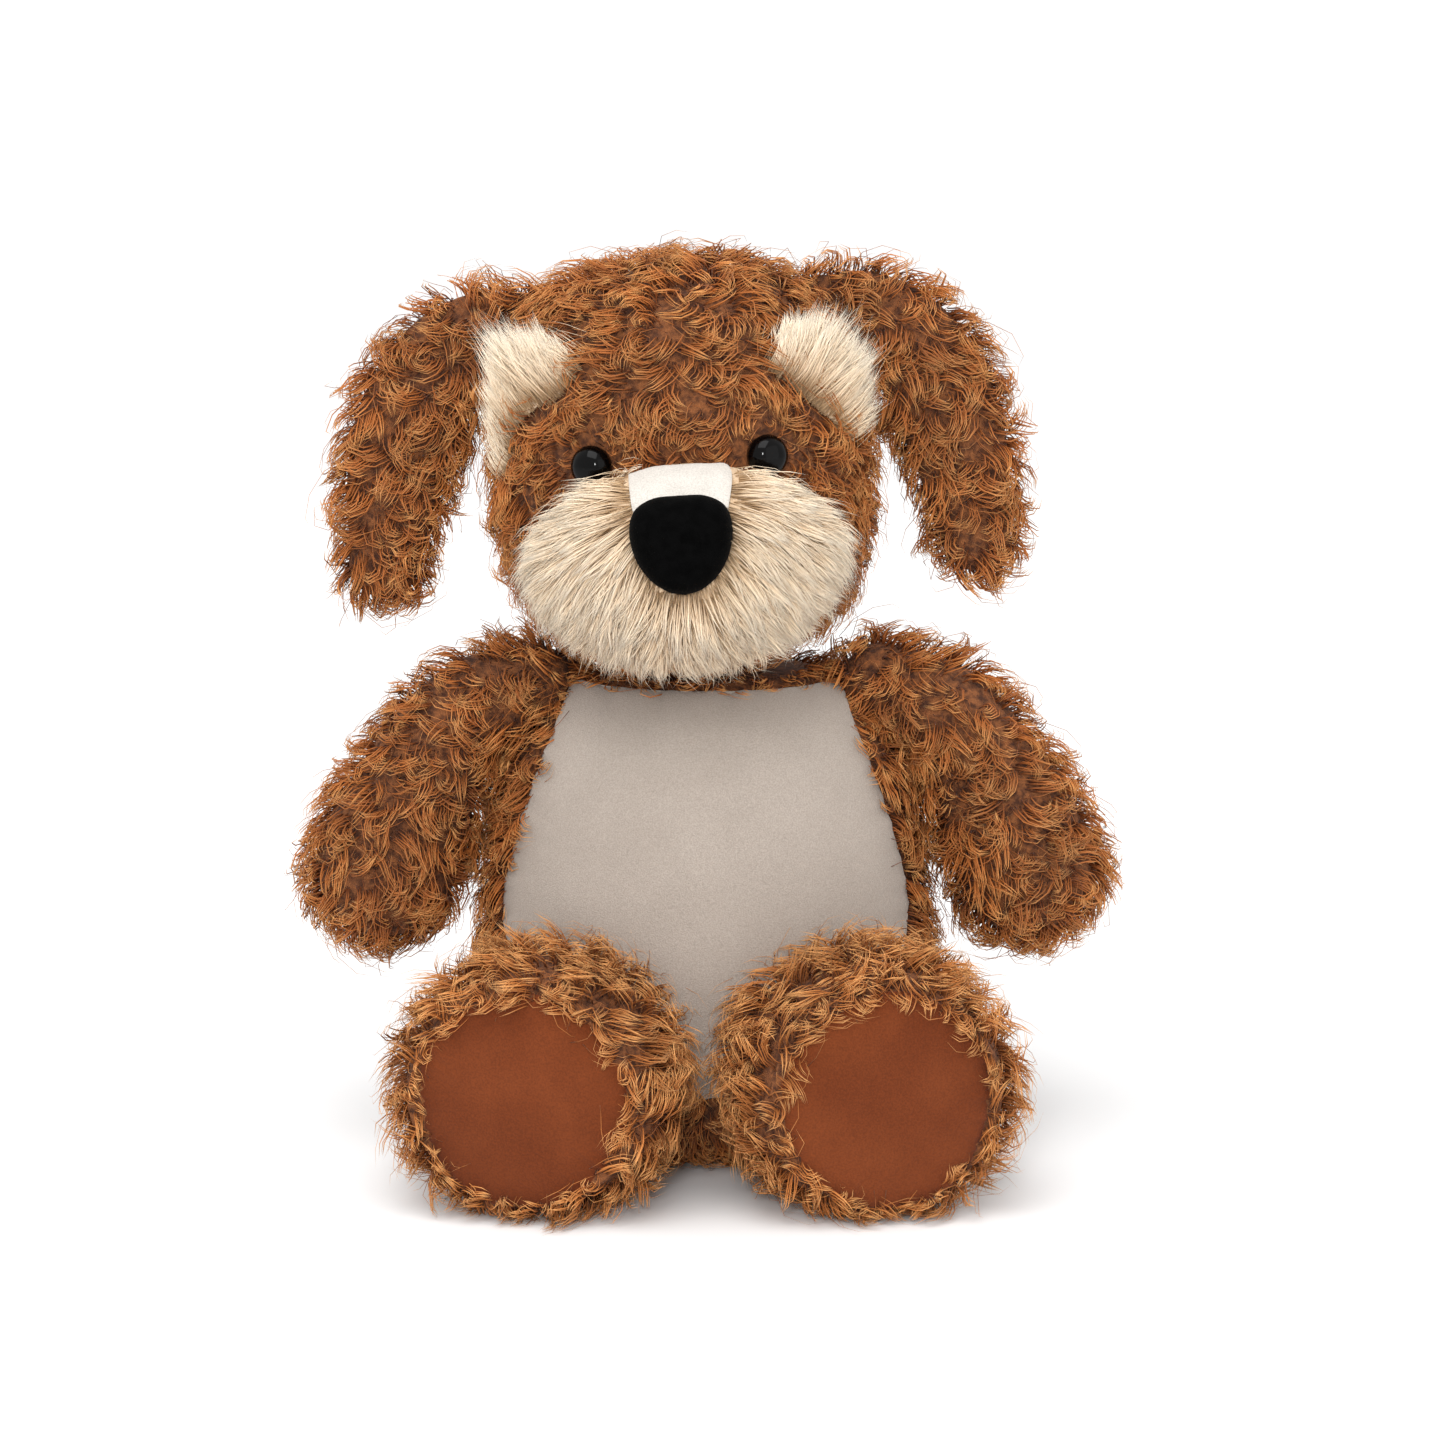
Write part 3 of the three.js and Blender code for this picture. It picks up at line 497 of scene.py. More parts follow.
def strand_mesh(name, points, column, s):
    """The faces and the map of many strands alike. On the map, u is the strand's column of colour, a
    third of it for each side, and v is the share of its length, so that a colour can follow both."""
    rings = len(s) - 1
    ring = np.arange(rings - 1)[:, None] * 3
    j, following = np.arange(3), (np.arange(3) + 1) % 3
    quads = np.stack([ring + j, ring + following, ring + 3 + following, ring + 3 + j], -1).reshape(-1, 4)
    last = (rings - 1) * 3
    tips = np.stack([last + j, last + following, np.full(3, rings * 3)], -1)
    corner = np.r_[quads.ravel(), tips.ravel(), [0, 2, 1]]
    starts = np.r_[np.arange(len(quads)) * 4, quads.size + 3 * np.arange(4)]
    u = 0.2 + 0.3 * np.where(corner == rings * 3, 1, corner % 3)
    v = s[corner // 3]
    v[-1] = 0.04
    total, size = len(points), rings * 3 + 1
    first = np.arange(total)[:, None]
    corners = (first * size + corner).ravel()
    uv = np.stack([(column[:, None] + u) / TONES, np.broadcast_to(v, (total, len(v)))], -1).reshape(-1, 2)
    begins = (first * len(corner) + starts).ravel()
    return mesh_object(name, points.reshape(-1, 3), corners, begins, uv)


# %% [markdown]
# ## Five kinds of pile
# The fabrics differ only in numbers: how long a lock is, how steeply it starts and how far it tips, how much
# it curls, and how its strands spread. So each is a dictionary, and the denser curls of the feet, the rim
# of the soles and the brows are copies of another with a few numbers changed.

# %% Kinds of pile
CURLY = dict(  # lengths and widths in millimetres, rises and curls in degrees
    rings=4, strands=8, loose=2, length=(11, 17), root_rise=(64, 86), tip_rise=(-60, -5), curl=(35, 180),
    hook=1.4, spread=2.4, pinch=0.75, uneven=0.66, width=0.3, taper=0.42, flat=0.8, patch=26, mottle=0.12,
)
PUFFY = dict(CURLY, length=(13, 20), root_rise=(72, 90), tip_rise=(-40, 25), curl=(30, 150), spread=2.5)
RIM = dict(CURLY, length=(8, 14), root_rise=(50, 85), tip_rise=(-20, 30), curl=(20, 150), spread=2.0)
LONG = dict(
    rings=3, strands=9, loose=2, length=(15, 21), root_rise=(20, 42), tip_rise=(-18, 10), curl=(0, 25),
    hook=1.5, spread=1.6, pinch=0.6, uneven=0.75, width=0.215, taper=0.4, flat=0.8, patch=14, mottle=0.16,
)
BROW = dict(LONG, length=(16, 26), root_rise=(30, 60), tip_rise=(0, 35), curl=(0, 30), spread=1.9, pinch=0.7)
print("triangles to a curly lock", CURLY["strands"] * (CURLY["rings"] * 6 - 2))

# %% [markdown]
# ## Finishes that several materials share
# Two effects recur, so each is a node group. Pile changes colour along each fibre, dark at the root and
# golden at the tip, and from one lock to the next. Cloth, suede and wadding have soft patches with a
# fine grain on top. The groups give out colours and heights only; each material keeps its own shader.

# %% Node groups
def linear(red, green, blue):
    """A display colour of 0 to 255 as linear light with alpha: ((c + 0.055) / 1.055) ** 2.4."""
    shares = np.array([red, green, blue]) / 255
    return (*np.where(shares <= 0.04045, shares / 12.92, ((shares + 0.055) / 1.055) ** 2.4), 1)


def new_group(name, inputs, outputs):
    """An empty shader node group with typed sockets."""
    tree = bpy.data.node_groups.new(name, "ShaderNodeTree")
    for way, sockets in (("INPUT", inputs), ("OUTPUT", outputs)):
        for socket, kind in sockets.items():
            tree.interface.new_socket(socket, in_out=way, socket_type="NodeSocket" + kind)
    return tree, tree.nodes.new("NodeGroupInput"), tree.nodes.new("NodeGroupOutput")


def blended(tree, factor, first, second):
    """A colour mix node's result."""
    mix = tree.nodes.new("ShaderNodeMix")
    mix.data_type = "RGBA"
    for socket, source in (("Factor", factor), ("A", first), ("B", second)):
        places = [i for i in mix.inputs if i.name == socket and i.enabled]
        tree.links.new(source, places[0])
    return next(o for o in mix.outputs if o.enabled)


def ramped(tree, source, low, high, bottom=0.0, top=1.0):
    """A smooth step from bottom to top as the source goes from low to high."""
    ramp = tree.nodes.new("ShaderNodeMapRange")
    ramp.interpolation_type = "SMOOTHSTEP"
    for socket, value in (("From Min", low), ("From Max", high), ("To Min", bottom), ("To Max", top)):
        ramp.inputs[socket].default_value = value
    tree.links.new(source, ramp.inputs["Value"])
    return ramp.outputs["Result"]


def pile_colour_group():
    """Root to Body to Tip along v, then times 1 + Unevenness (2 u - 1)."""
    inputs = {"Map": "Vector", "Root": "Color", "Body": "Color", "Tip": "Color", "Unevenness": "Float"}
    tree, given, result = new_group("pile_colour", inputs, {"Color": "Color"})
    split = tree.nodes.new("ShaderNodeSeparateXYZ")
    tree.links.new(given.outputs["Map"], split.inputs[0])
    low = ramped(tree, split.outputs["Y"], 0.05, 0.5)
    high = ramped(tree, split.outputs["Y"], 0.45, 1.0)
    colour = blended(tree, low, given.outputs["Root"], given.outputs["Body"])
    colour = blended(tree, high, colour, given.outputs["Tip"])
    centred = tree.nodes.new("ShaderNodeMath")
    centred.operation = "MULTIPLY_ADD"
    centred.inputs[1].default_value = 2
    centred.inputs[2].default_value = -1
    tree.links.new(split.outputs["X"], centred.inputs[0])
    shade = tree.nodes.new("ShaderNodeMath")
    shade.operation = "MULTIPLY_ADD"
    shade.inputs[2].default_value = 1
    tree.links.new(centred.outputs[0], shade.inputs[0])
    tree.links.new(given.outputs["Unevenness"], shade.inputs[1])
    scaled = tree.nodes.new("ShaderNodeVectorMath")
    scaled.operation = "SCALE"
    tree.links.new(colour, scaled.inputs[0])
    tree.links.new(shade.outputs[0], scaled.inputs["Scale"])
    tree.links.new(scaled.outputs[0], result.inputs["Color"])
    return tree


def soft_grain_group():
    """Patches of two colours from a broad noise, darkened a little by a fine noise, which also gives
    the height: 0.3 patch + 0.7 grain."""
    inputs = {"Vector": "Vector", "Dark": "Color", "Light": "Color", "Patches": "Float", "Grain": "Float"}
    tree, given, result = new_group("soft_grain", inputs, {"Color": "Color", "Height": "Float"})
    noises = []
    for socket, detail in (("Patches", 3), ("Grain", 2)):
        noise = tree.nodes.new("ShaderNodeTexNoise")
        noise.inputs["Detail"].default_value = detail
        tree.links.new(given.outputs["Vector"], noise.inputs["Vector"])
        tree.links.new(given.outputs[socket], noise.inputs["Scale"])
        noises.append(noise.outputs[0])
    patch = ramped(tree, noises[0], 0.3, 0.7)
    grain = ramped(tree, noises[1], 0.25, 0.75, 0.8, 1.08)
    colour = blended(tree, patch, given.outputs["Dark"], given.outputs["Light"])
    scaled = tree.nodes.new("ShaderNodeVectorMath")
    scaled.operation = "SCALE"
    tree.links.new(colour, scaled.inputs[0])
    tree.links.new(grain, scaled.inputs["Scale"])
    tree.links.new(scaled.outputs[0], result.inputs["Color"])
    height = tree.nodes.new("ShaderNodeMath")
    height.operation = "MULTIPLY_ADD"
    height.inputs[1].default_value = 0.3
    fine = tree.nodes.new("ShaderNodeMath")
    fine.operation = "MULTIPLY"
    fine.inputs[1].default_value = 0.7
    tree.links.new(noises[1], fine.inputs[0])
    tree.links.new(noises[0], height.inputs[0])
    tree.links.new(fine.outputs[0], height.inputs[2])
    tree.links.new(height.outputs[0], result.inputs["Height"])
    return tree


PILE_COLOUR = pile_colour_group()
SOFT_GRAIN = soft_grain_group()
print("shared groups", [group.name for group in bpy.data.node_groups])

# %% [markdown]
# ## Two kinds of material
# All the finishes are pile or cloth. Pile reads its strand's place and share of length from the mesh's own
# map, because a strand is too thin for a pattern in space. Cloth reads Object coordinates, so its grain
# has the same size on every piece. Each maker sets the even values on the shader itself.

# %% Material makers
def shader_of(name, settings):
    """A material with its Principled shader's own sockets set."""
    look = bpy.data.materials.new(name)
    look.use_nodes = True
    shader = look.node_tree.nodes["Principled BSDF"]
    for socket, value in settings.items():
        shader.inputs[socket].default_value = value
    return look, look.node_tree, shader


def pile(name, root, body, tip, unevenness, **settings):
    """Pile whose colour follows each strand through its map."""
    look, tree, shader = shader_of(name, settings)
    where = tree.nodes.new("ShaderNodeUVMap")
    where.uv_map = "OFBake"
    colour = tree.nodes.new("ShaderNodeGroup")
    colour.node_tree = PILE_COLOUR
    for socket, value in (("Root", root), ("Body", body), ("Tip", tip)):
        colour.inputs[socket].default_value = linear(*value)
    colour.inputs["Unevenness"].default_value = unevenness
    tree.links.new(where.outputs["UV"], colour.inputs["Map"])
    tree.links.new(colour.outputs["Color"], shader.inputs["Base Color"])
    return look


def cloth(name, dark, light, patches, grain, depth, **settings):
    """Cloth, suede or wadding: soft patches and grain on the object's own coordinates, with depth in
    millimetres for the bump."""
    look, tree, shader = shader_of(name, settings)
    where = tree.nodes.new("ShaderNodeTexCoord")
    mix = tree.nodes.new("ShaderNodeGroup")
    mix.node_tree = SOFT_GRAIN
    mix.inputs["Dark"].default_value = linear(*dark)
    mix.inputs["Light"].default_value = linear(*light)
    mix.inputs["Patches"].default_value = patches
    mix.inputs["Grain"].default_value = grain
    bump = tree.nodes.new("ShaderNodeBump")
    bump.inputs["Distance"].default_value = depth * MM
    tree.links.new(where.outputs["Object"], mix.inputs["Vector"])
    tree.links.new(mix.outputs["Color"], shader.inputs["Base Color"])
    tree.links.new(mix.outputs["Height"], bump.inputs["Height"])
    tree.links.new(bump.outputs["Normal"], shader.inputs["Normal"])
    return look


# %% [markdown]
# ## The puppy's finishes
# The coat is a russet pile with golden tips. On the feet it carries painted light: it is a little paler
# there, for the more frontal light that falls on them. The muzzle and brows are cream, the tummy a smooth
# grey-beige plush, the soles brushed suede, the nose a short black pile and the eyes polished plastic.
# Under the coat lies its own knitted backing, its colour darkened with painted shade for the shadow of the
# pile.

# %% The materials
FIBRE = {"Roughness": 0.6, "Specular IOR Level": 0.22, "Sheen Weight": 0.04, "Sheen Roughness": 0.4}
COAT = pile("russet_pile", (116, 60, 24), (164, 96, 44), (208, 150, 90), 0.26, **FIBRE)
# painted light: the feet's pile is the coat's colour a little paler, for the more frontal light on the feet
FOOT_PAINTED_LIGHT = pile("golden_pile_painted_light", (118, 64, 28), (168, 102, 49), (212, 155, 96), 0.24, **FIBRE)
CREAM = pile("cream_pile", (196, 162, 122), (233, 211, 182), (248, 236, 216), 0.08, **FIBRE)
# the backing's dark colour is partly the cloth's own and partly painted shade, the shadow between the locks
BACKING_PAINTED_SHADE = cloth("knitted_backing_painted_shade", (66, 33, 13), (134, 80, 41), 420, 1500, 0.9, Roughness=0.95)
CREAM_CLOTH = cloth("cream_backing", (196, 164, 128), (226, 200, 168), 160, 1500, 0.4, Roughness=0.95)
SOFT = {"Roughness": 0.92, "Specular IOR Level": 0.12, "Sheen Weight": 0.12, "Sheen Roughness": 0.5}
TUMMY = cloth("smooth_plush", (160, 149, 139), (165, 154, 144), 45, 2600, 0.3, **SOFT)
SNOW = cloth("white_plush", (196, 190, 182), (202, 196, 188), 200, 2400, 0.3, **SOFT)
SUEDE = cloth("brushed_suede", (96, 43, 16), (112, 54, 24), 30, 1800, 0.3, **SOFT)
DULL = {"Roughness": 0.85, "Specular IOR Level": 0.03, "Sheen Weight": 0.01, "Sheen Roughness": 0.4}
NOSE_PILE = cloth("black_pile", (1, 1, 1), (4, 4, 4), 300, 2200, 0.3, **DULL)
GLOSSY = {"Roughness": 0.09, "Specular IOR Level": 0.13}
EYE = cloth("polished_black", (2, 2, 2), (5, 4, 4), 90, 400, 0.002, **GLOSSY)
WADDING = cloth("fibre_filling", (222, 221, 217), (246, 245, 242), 70, 600, 1.2, Roughness=0.95)
BAG_CLOTH = cloth("pellet_bag_cloth", (198, 193, 184), (224, 220, 212), 120, 1300, 0.3, Roughness=0.9)
WASHER_PLASTIC = cloth("washer_plastic", (222, 222, 218), (234, 234, 230), 60, 500, 0.02, Roughness=0.45)
print("materials", len(bpy.data.materials))


# %% [markdown]
# ## Under the coat
# Wadding, a bag of pellets and the washers behind the eyes can't be seen, but they are real pieces of
# the toy. Their CAD shapes are right already, so they only get a finish.

# %% Finishing the inner pieces
def finish_piece(piece, look, body):
    """Gives a piece its material and the body that it rides on."""
    piece.data.materials.append(look)
    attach(piece, body)
    return piece


def stuffed(piece, look, slot, body, fill, *nodes):
    """A padded piece that stands for one or more CAD nodes."""
    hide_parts(*nodes)
    return finish_piece(piece, look, body)


inner = {"filling": WADDING, "pellet_bag": BAG_CLOTH, "washer": WASHER_PLASTIC}
for node_name, node in NODES.items():
    for word, look in inner.items():
        if word in node_name and node_name != "neck_filling":
            node.data.materials.clear()
            node.data.materials.append(look)
print("finished", sum("filling" in n for n in NODES), "fillings")


# %% [markdown]
# ## The torso, the head and the muzzle
# Each stuffed part repeats the formula of its CAD solid, with sizes from the CAD pieces and places from
# the hinges. The torso is an oval with its widest at the hips, the head a squarish ball that is rolled a
# little to one side, and the muzzle an ellipsoid on its front. The CAD meshes could be smoothed instead, but
# they are far coarser than the pile. A surface stands for the outside of the fabric, under the pile.

# %% Torso and head
TORSO_SIDE = [[0.636, 0], [0.92, 0.1], [1, 0.333], [0.932, 0.722], [0.81, 0.889], [0.515, 1]]
TORSO_FLATNESS = 0.82
HEAD_SQUARENESS = 2.7
HEAD_FLATNESS = 0.95
HEAD_ROLL = math.radians(3.6)
UP = np.array([0.0, 0.0, 1.0])


def extent(way, *nodes):
    """The lowest and highest place of several nodes' points along a direction."""
    low, high = np.inf, -np.inf
    for node in nodes:
        piece = NODES[node]
        points = np.empty(3 * len(piece.data.vertices), np.float32)
        piece.data.vertices.foreach_get("co", points)
        turn = np.array(piece.matrix_world)
        places = (points.reshape(-1, 3) @ turn[:3, :3].T + turn[:3, 3]) @ way
        low, high = min(low, places.min()), max(high, places.max())
    return low, high


HEAD_TALLNESS = 1.0766  # half its height over its radius
HEAD_STEP = np.array([0, -0.1495, 0.8561])  # from the nodding hinge to its middle, in radii

torso_low, torso_high = box_of("torso_skin", "tummy_panel")
torso_radius = (torso_high[0] - torso_low[0]) / 2
torso_height = torso_high[2]
torso_centre = HINGES["head_turn"] * (0, 1, 0)
side_line = through(np.array(TORSO_SIDE) * (torso_radius, torso_height))
torso_profile = even(np.vstack([[[0, 0]], side_line, [[0, torso_height]]]))
torso = turned(torso_profile, torso_centre, np.eye(3), (1, TORSO_FLATNESS))

roll_cos, roll_sin = math.cos(HEAD_ROLL), math.sin(HEAD_ROLL)
tilted = np.array([[roll_cos, 0, roll_sin], [0, 1, 0], [-roll_sin, 0, roll_cos]])
head_radius = np.ptp(extent(tilted[0], "head_skin")) / 2
head_half_height = HEAD_TALLNESS * head_radius
head_centre = HINGES["head_nod"] + head_radius * (HEAD_STEP @ tilted)
head_profile = superellipse(head_radius, head_half_height, HEAD_SQUARENESS)
head = turned(head_profile, head_centre, tilted, (1, HEAD_FLATNESS))

MUZZLE_HALF = head_radius * np.array([0.748, 0.561, 0.523])  # its three half axes
MUZZLE_PLACE = head_radius * np.array([0, -0.95, -0.430])  # from the head's middle, in the head's axes
muzzle_centre = head_centre + MUZZLE_PLACE @ tilted
muzzle = turned(superellipse(1, 1, 2), muzzle_centre, tilted * MUZZLE_HALF[:, None])
print("torso", torso_radius, torso_height, "head", head_radius, head_centre.round(4))

# %% [markdown]
# ## The limbs, the ears and the tail
# Ears and arms hang from their seams in a curve, so each is a tube along a spine, given as a few points out
# and up from its hinge in shares of its drop. A leg sticks straight out and ends in a flat sole, so it is a
# turned profile with a rounded root and no cap. Lattices or sculpting could bend them too, but then the pile
# would have no formula to ask.

# %% Limbs, ears and tail
EAR_SPINE = [[0, 0], [0.1515, -0.0325], [0.2814, -0.1624], [0.3897, -0.4438], [0.433, -0.7793]]
EAR_GIRTH = [[0.1028, 0], [0.1732, 0.42], [0.168, 0.68], [0.1245, 1]]
EAR_FLATNESS = 0.55
EAR_TURNS = {"right": math.radians(1.4), "left": math.radians(4.6)}  # each lifted this much
ARM_SPINE = [[0, 0], [0.233, -0.0905], [0.4184, -0.3845], [0.5032, -0.5994]]
ARM_GIRTH = [[0.164, 0], [0.1922, 0.4], [0.2318, 0.75], [0.2488, 1]]
LEG_GIRTH = [[0.704, 0], [0.939, 0.35], [0.997, 0.6], [0.980, 0.8], [0.889, 0.957]]
LEG_WIDENESS = 1.07
LEG_SHARE = 2.024  # length over radius
TAIL_RISE = math.radians(45)
TAIL_SPINE = [[0, 0], [0.63, 0]]
TAIL_GIRTH = [[0.285, 0], [0.328, 0.6], [0.302, 1]]


def along_spine(points, girth, hinge, out, up, depth, flatness=1.0):
    """A tube bent along a spine of (out, up) points, with girth rows of (radius, share of length)."""
    spine = through([hinge + a * out + b * up for a, b in points])
    length = np.linalg.norm(np.diff(spine, axis=0), axis=1).sum()
    stations = [[radius, share * length] for radius, share in girth]
    form = bent(round_ended(stations), spine, depth, flatness)
    form.spine = spine
    return form


def out_of(joint):
    """The level direction in which a limb points, up crossed with its hinge's axis, and that axis."""
    axis = np.array(next(j["axis"] for j in frame["joints"] if j["name"] == joint), float)
    return unit(np.cross(UP, axis)), unit(axis)


def ear_form(name, side):
    """An ear's tube, in axes that are lifted by its own turn."""
    turn = EAR_TURNS[name]
    out = np.array([side * math.cos(turn), 0, math.sin(turn)])
    up = np.array([-side * math.sin(turn), 0, math.cos(turn)])
    drop = np.ptp(extent(up, f"ear_{name}_front", f"ear_{name}_back"))
    spine, girth = np.array(EAR_SPINE) * drop, np.array(EAR_GIRTH) * (drop, 1)
    return along_spine(spine, girth, HINGES[f"ear_{name}_lift"], out, up, (0, 1, 0), EAR_FLATNESS)


def arm_form(name):
    """An arm's tube, in the upright plane across its hinge."""
    drop = np.ptp(box_of(f"arm_{name}_skin"), 0)[2]
    out, axis = out_of(f"arm_{name}_lift")
    spine, girth = np.array(ARM_SPINE) * drop, np.array(ARM_GIRTH) * (drop, 1)
    return along_spine(spine, girth, HINGES[f"arm_{name}_lift"], out, UP, axis)


def leg_form(name):
    """A leg's turned profile: a quarter circle at its root, its girth, and straight in to the middle."""
    radius = np.ptp(box_of(f"leg_{name}_skin"), 0)[2] / 2
    out, axis = out_of(f"leg_{name}_lift")
    hinge, length = HINGES[f"leg_{name}_lift"], LEG_SHARE * radius
    stations = np.array(LEG_GIRTH) * (radius, length)
    turn = np.linspace(0, np.pi / 2, CAP_POINTS)
    root = stations[0, 0] * np.stack([np.sin(turn), -np.cos(turn)], 1)
    profile = even(np.vstack([root, through(stations)[1:], [[0, stations[-1, 1]]]]))
    leg = turned(profile, hinge, (np.cross(axis, out), axis, out), (1, LEG_WIDENESS))
    leg.out, leg.hinge, leg.length, leg.radius = out, hinge, length, radius
    return leg


def tail_form():
    """The tail's tube, which rises backwards from its hinge."""
    size = np.ptp(box_of("tail_skin"), 0)[2]
    way = np.array([0, math.cos(TAIL_RISE), math.sin(TAIL_RISE)])
    spine, girth = np.array(TAIL_SPINE) * size, np.array(TAIL_GIRTH) * (size, 1)
    return along_spine(spine, girth, HINGES["tail_wag"], way, UP, (1, 0, 0))


ears = {name: ear_form(name, side) for name, side in SIDES}
arms = {name: arm_form(name) for name, _ in SIDES}
legs = {name: leg_form(name) for name, _ in SIDES}
tail = tail_form()
leg_radius = legs["left"].radius
print("leg radius", leg_radius, "tail", np.ptp(tail.spine, 0).round(4))

# %% [markdown]
# ## The backing under the pile
# The fabric's knitted backing shows between the locks as a dark ground, so every furry part has one: its
# form, a little inside the pile, with the soft lumps that stuffing gives. Its colour is partly the cloth's
# own and partly painted shade, for the shadow that the pile casts between its locks. These are the padded
# pieces. A cloth simulation could lump them too, but no fold of it would show through the pile, and the
# pile needs the very formula that its ground is made from. The halves of an ear or a muzzle meet at a flat
# wall.

# %% Backings
UNDER = 1.2 * MM  # how far the backing lies inside the form
LEG_UNDER = -0.4 * MM  # a leg's cloth covers its stuffing right up to the sole
LUMP = 0.5 * MM
LUMP_WIDTH = 30 * MM
SEAM_GAP = 0.3 * MM


def inside(surface, distance):
    """The surface moved in along its normals."""
    def sunk(t, phi):
        """The point at t and phi, less the distance along the normal."""
        _, normals, _ = lie(surface, t, phi)
        return surface(t, phi) - distance * normals

    return sunk


def backing(name, surface, look, slot, body, nodes, fill=0.7, rows=44, columns=48, seed=1, under=UNDER):
    """A furry part's padded cloth, standing for its CAD nodes."""
    piece = closed_form(name, inside(lumpy(surface, LUMP, LUMP_WIDTH, seed), under), rows, columns)
    return stuffed(piece, look, slot, body, fill, *nodes)


def one_side(surface, place, way):
    """Half of a form: what lies behind the plane at place, facing way, moves straight onto it, which
    closes the half with a flat wall."""
    def cut(t, phi):
        """The point at t and phi, moved out to the plane if it lies behind."""
        points = surface(t, phi)
        reach = np.minimum((points - place) @ way - SEAM_GAP / 2, 0)
        return points - reach[..., None] * way

    return cut


# %% The backings, one by one
backing("torso_cloth", torso, BACKING_PAINTED_SHADE, "curly_plush", "torso", ["torso_skin"], rows=90, columns=110)
backing("head_cloth", head, BACKING_PAINTED_SHADE, "curly_plush", "head", ["head_skin"], rows=80, columns=100, seed=2)
for name, side in SIDES:
    arm, leg = f"arm_{name}", f"leg_{name}"
    backing(f"{arm}_cloth", arms[name], BACKING_PAINTED_SHADE, "curly_plush", arm, [f"{arm}_skin"], seed=3)
    backing(f"{leg}_cloth", legs[name], BACKING_PAINTED_SHADE, "curly_plush", leg, [f"{leg}_skin"], rows=90, seed=4,
            under=LEG_UNDER)
    for face, way in (("front", -1), ("back", 1)):
        half = one_side(inside(ears[name], UNDER), HINGES[f"ear_{name}_lift"], np.array([0, way, 0]))
        piece = closed_form(f"ear_{name}_{face}_cloth", half, 60, 48)
        stuffed(piece, BACKING_PAINTED_SHADE, "curly_plush", f"ear_{name}", 0.2, f"ear_{name}_{face}")
    half = one_side(inside(muzzle, UNDER), muzzle_centre, side * tilted[0])
    piece = closed_form(f"muzzle_{name}_cloth", half, 60, 64)
    stuffed(piece, CREAM_CLOTH, "long_plush", "head", 0.7, f"muzzle_{name}")
backing("tail_cloth", tail, BACKING_PAINTED_SHADE, "curly_plush", "tail", ["tail_skin"], rows=40, columns=40)

NECK_TALLNESS = 1.3  # half its height over its radius
NECK_SINK = 0.3  # how far its middle lies below the hinge, in radii
neck_low, neck_high = box_of("neck_filling")
neck_radius = (neck_high[0] - neck_low[0]) / 2
neck_profile = superellipse(neck_radius, NECK_TALLNESS * neck_radius, 2.4)
neck = turned(neck_profile, HINGES["head_turn"] - NECK_SINK * neck_radius * UP, np.eye(3))
neck_piece = closed_form("neck_cloth", neck, 40, 48)
stuffed(neck_piece, BACKING_PAINTED_SHADE, "curly_plush", "neck", 0.8, "neck_filling")

# %% [markdown]
# ## Pads that lie on a form
# The tummy panel, the soles, the white bridge and the brow patches are flat pieces of cloth sewn on.
# Each is a pad: its outline and its middle are joined by rays, the face is lifted off the form it lies
# on, and the rim rounds over to a back. Little gathers run in from the seam where the thread draws it.

# %% Surfaces seen from the front, and pads on them
SLOPE_STEP = 0.4 * MM
FACE_EASE = 3 * MM  # over which the muzzle runs into the head


def facing(depth_at, centre, axes):
    """A surface as depth over (x, z): centre + x A - depth B + z C, with its normal, the cross product
    of its slopes in x and z."""
    def place(x, z):
        """The point that lies depth_at(x, z) in front of the middle."""
        return centre + x[..., None] * axes[0] - depth_at(x, z)[..., None] * axes[1] + z[..., None] * axes[2]

    def at(x, z):
        """The point and its normal."""
        slope_x = place(x + SLOPE_STEP, z) - place(x - SLOPE_STEP, z)
        slope_z = place(x, z + SLOPE_STEP) - place(x, z - SLOPE_STEP)
        return place(x, z), unit(np.cross(slope_x, slope_z))

    return at


def torso_depth(x, z):
    """The turned profile's circle at height z, flattened: f sqrt(r(z)^2 - x^2)."""
    radius = np.interp(z, side_line[:, 1], side_line[:, 0])
    return TORSO_FLATNESS * np.sqrt(np.maximum(radius**2 - x**2, (0.15 * radius) ** 2))


def head_depth(x, z):
    """The head's superellipse at height z, flattened."""
    level = 1 - np.minimum(np.abs(z) / head_half_height, 0.999) ** HEAD_SQUARENESS
    radius = head_radius * level ** (1 / HEAD_SQUARENESS)
    return HEAD_FLATNESS * np.sqrt(np.maximum(radius**2 - x**2, (0.1 * head_radius) ** 2))


def face_depth(x, z):
    """The further forward of the head and the muzzle's ellipsoid, eased where they meet:
    (a + b + sqrt((a - b)^2 + e^2)) / 2."""
    u, v = x / MUZZLE_HALF[0], (z - MUZZLE_PLACE[2]) / MUZZLE_HALF[2]
    bulge = MUZZLE_HALF[1] * np.sqrt(np.maximum(1 - u**2 - v**2, 0)) - MUZZLE_PLACE[1]
    bulge = np.where(u**2 + v**2 < 1, bulge, 0)
    first = head_depth(x, z)
    return (first + bulge + np.sqrt((first - bulge) ** 2 + FACE_EASE**2)) / 2


on_torso = facing(torso_depth, torso_centre, np.eye(3))
on_face = facing(face_depth, head_centre, tilted)


def ray_lengths(outline, middle):
    """How far an outline lies from its middle, as a function of the angle: its points sorted by their
    angle, and straight lines between them."""
    rays = np.asarray(outline) - middle
    angles = np.arctan2(rays[:, 1], rays[:, 0])
    order = np.argsort(angles)
    lengths = np.linalg.norm(rays, axis=1)[order]
    return lambda turn: np.interp(turn, angles[order], lengths, period=2 * np.pi)


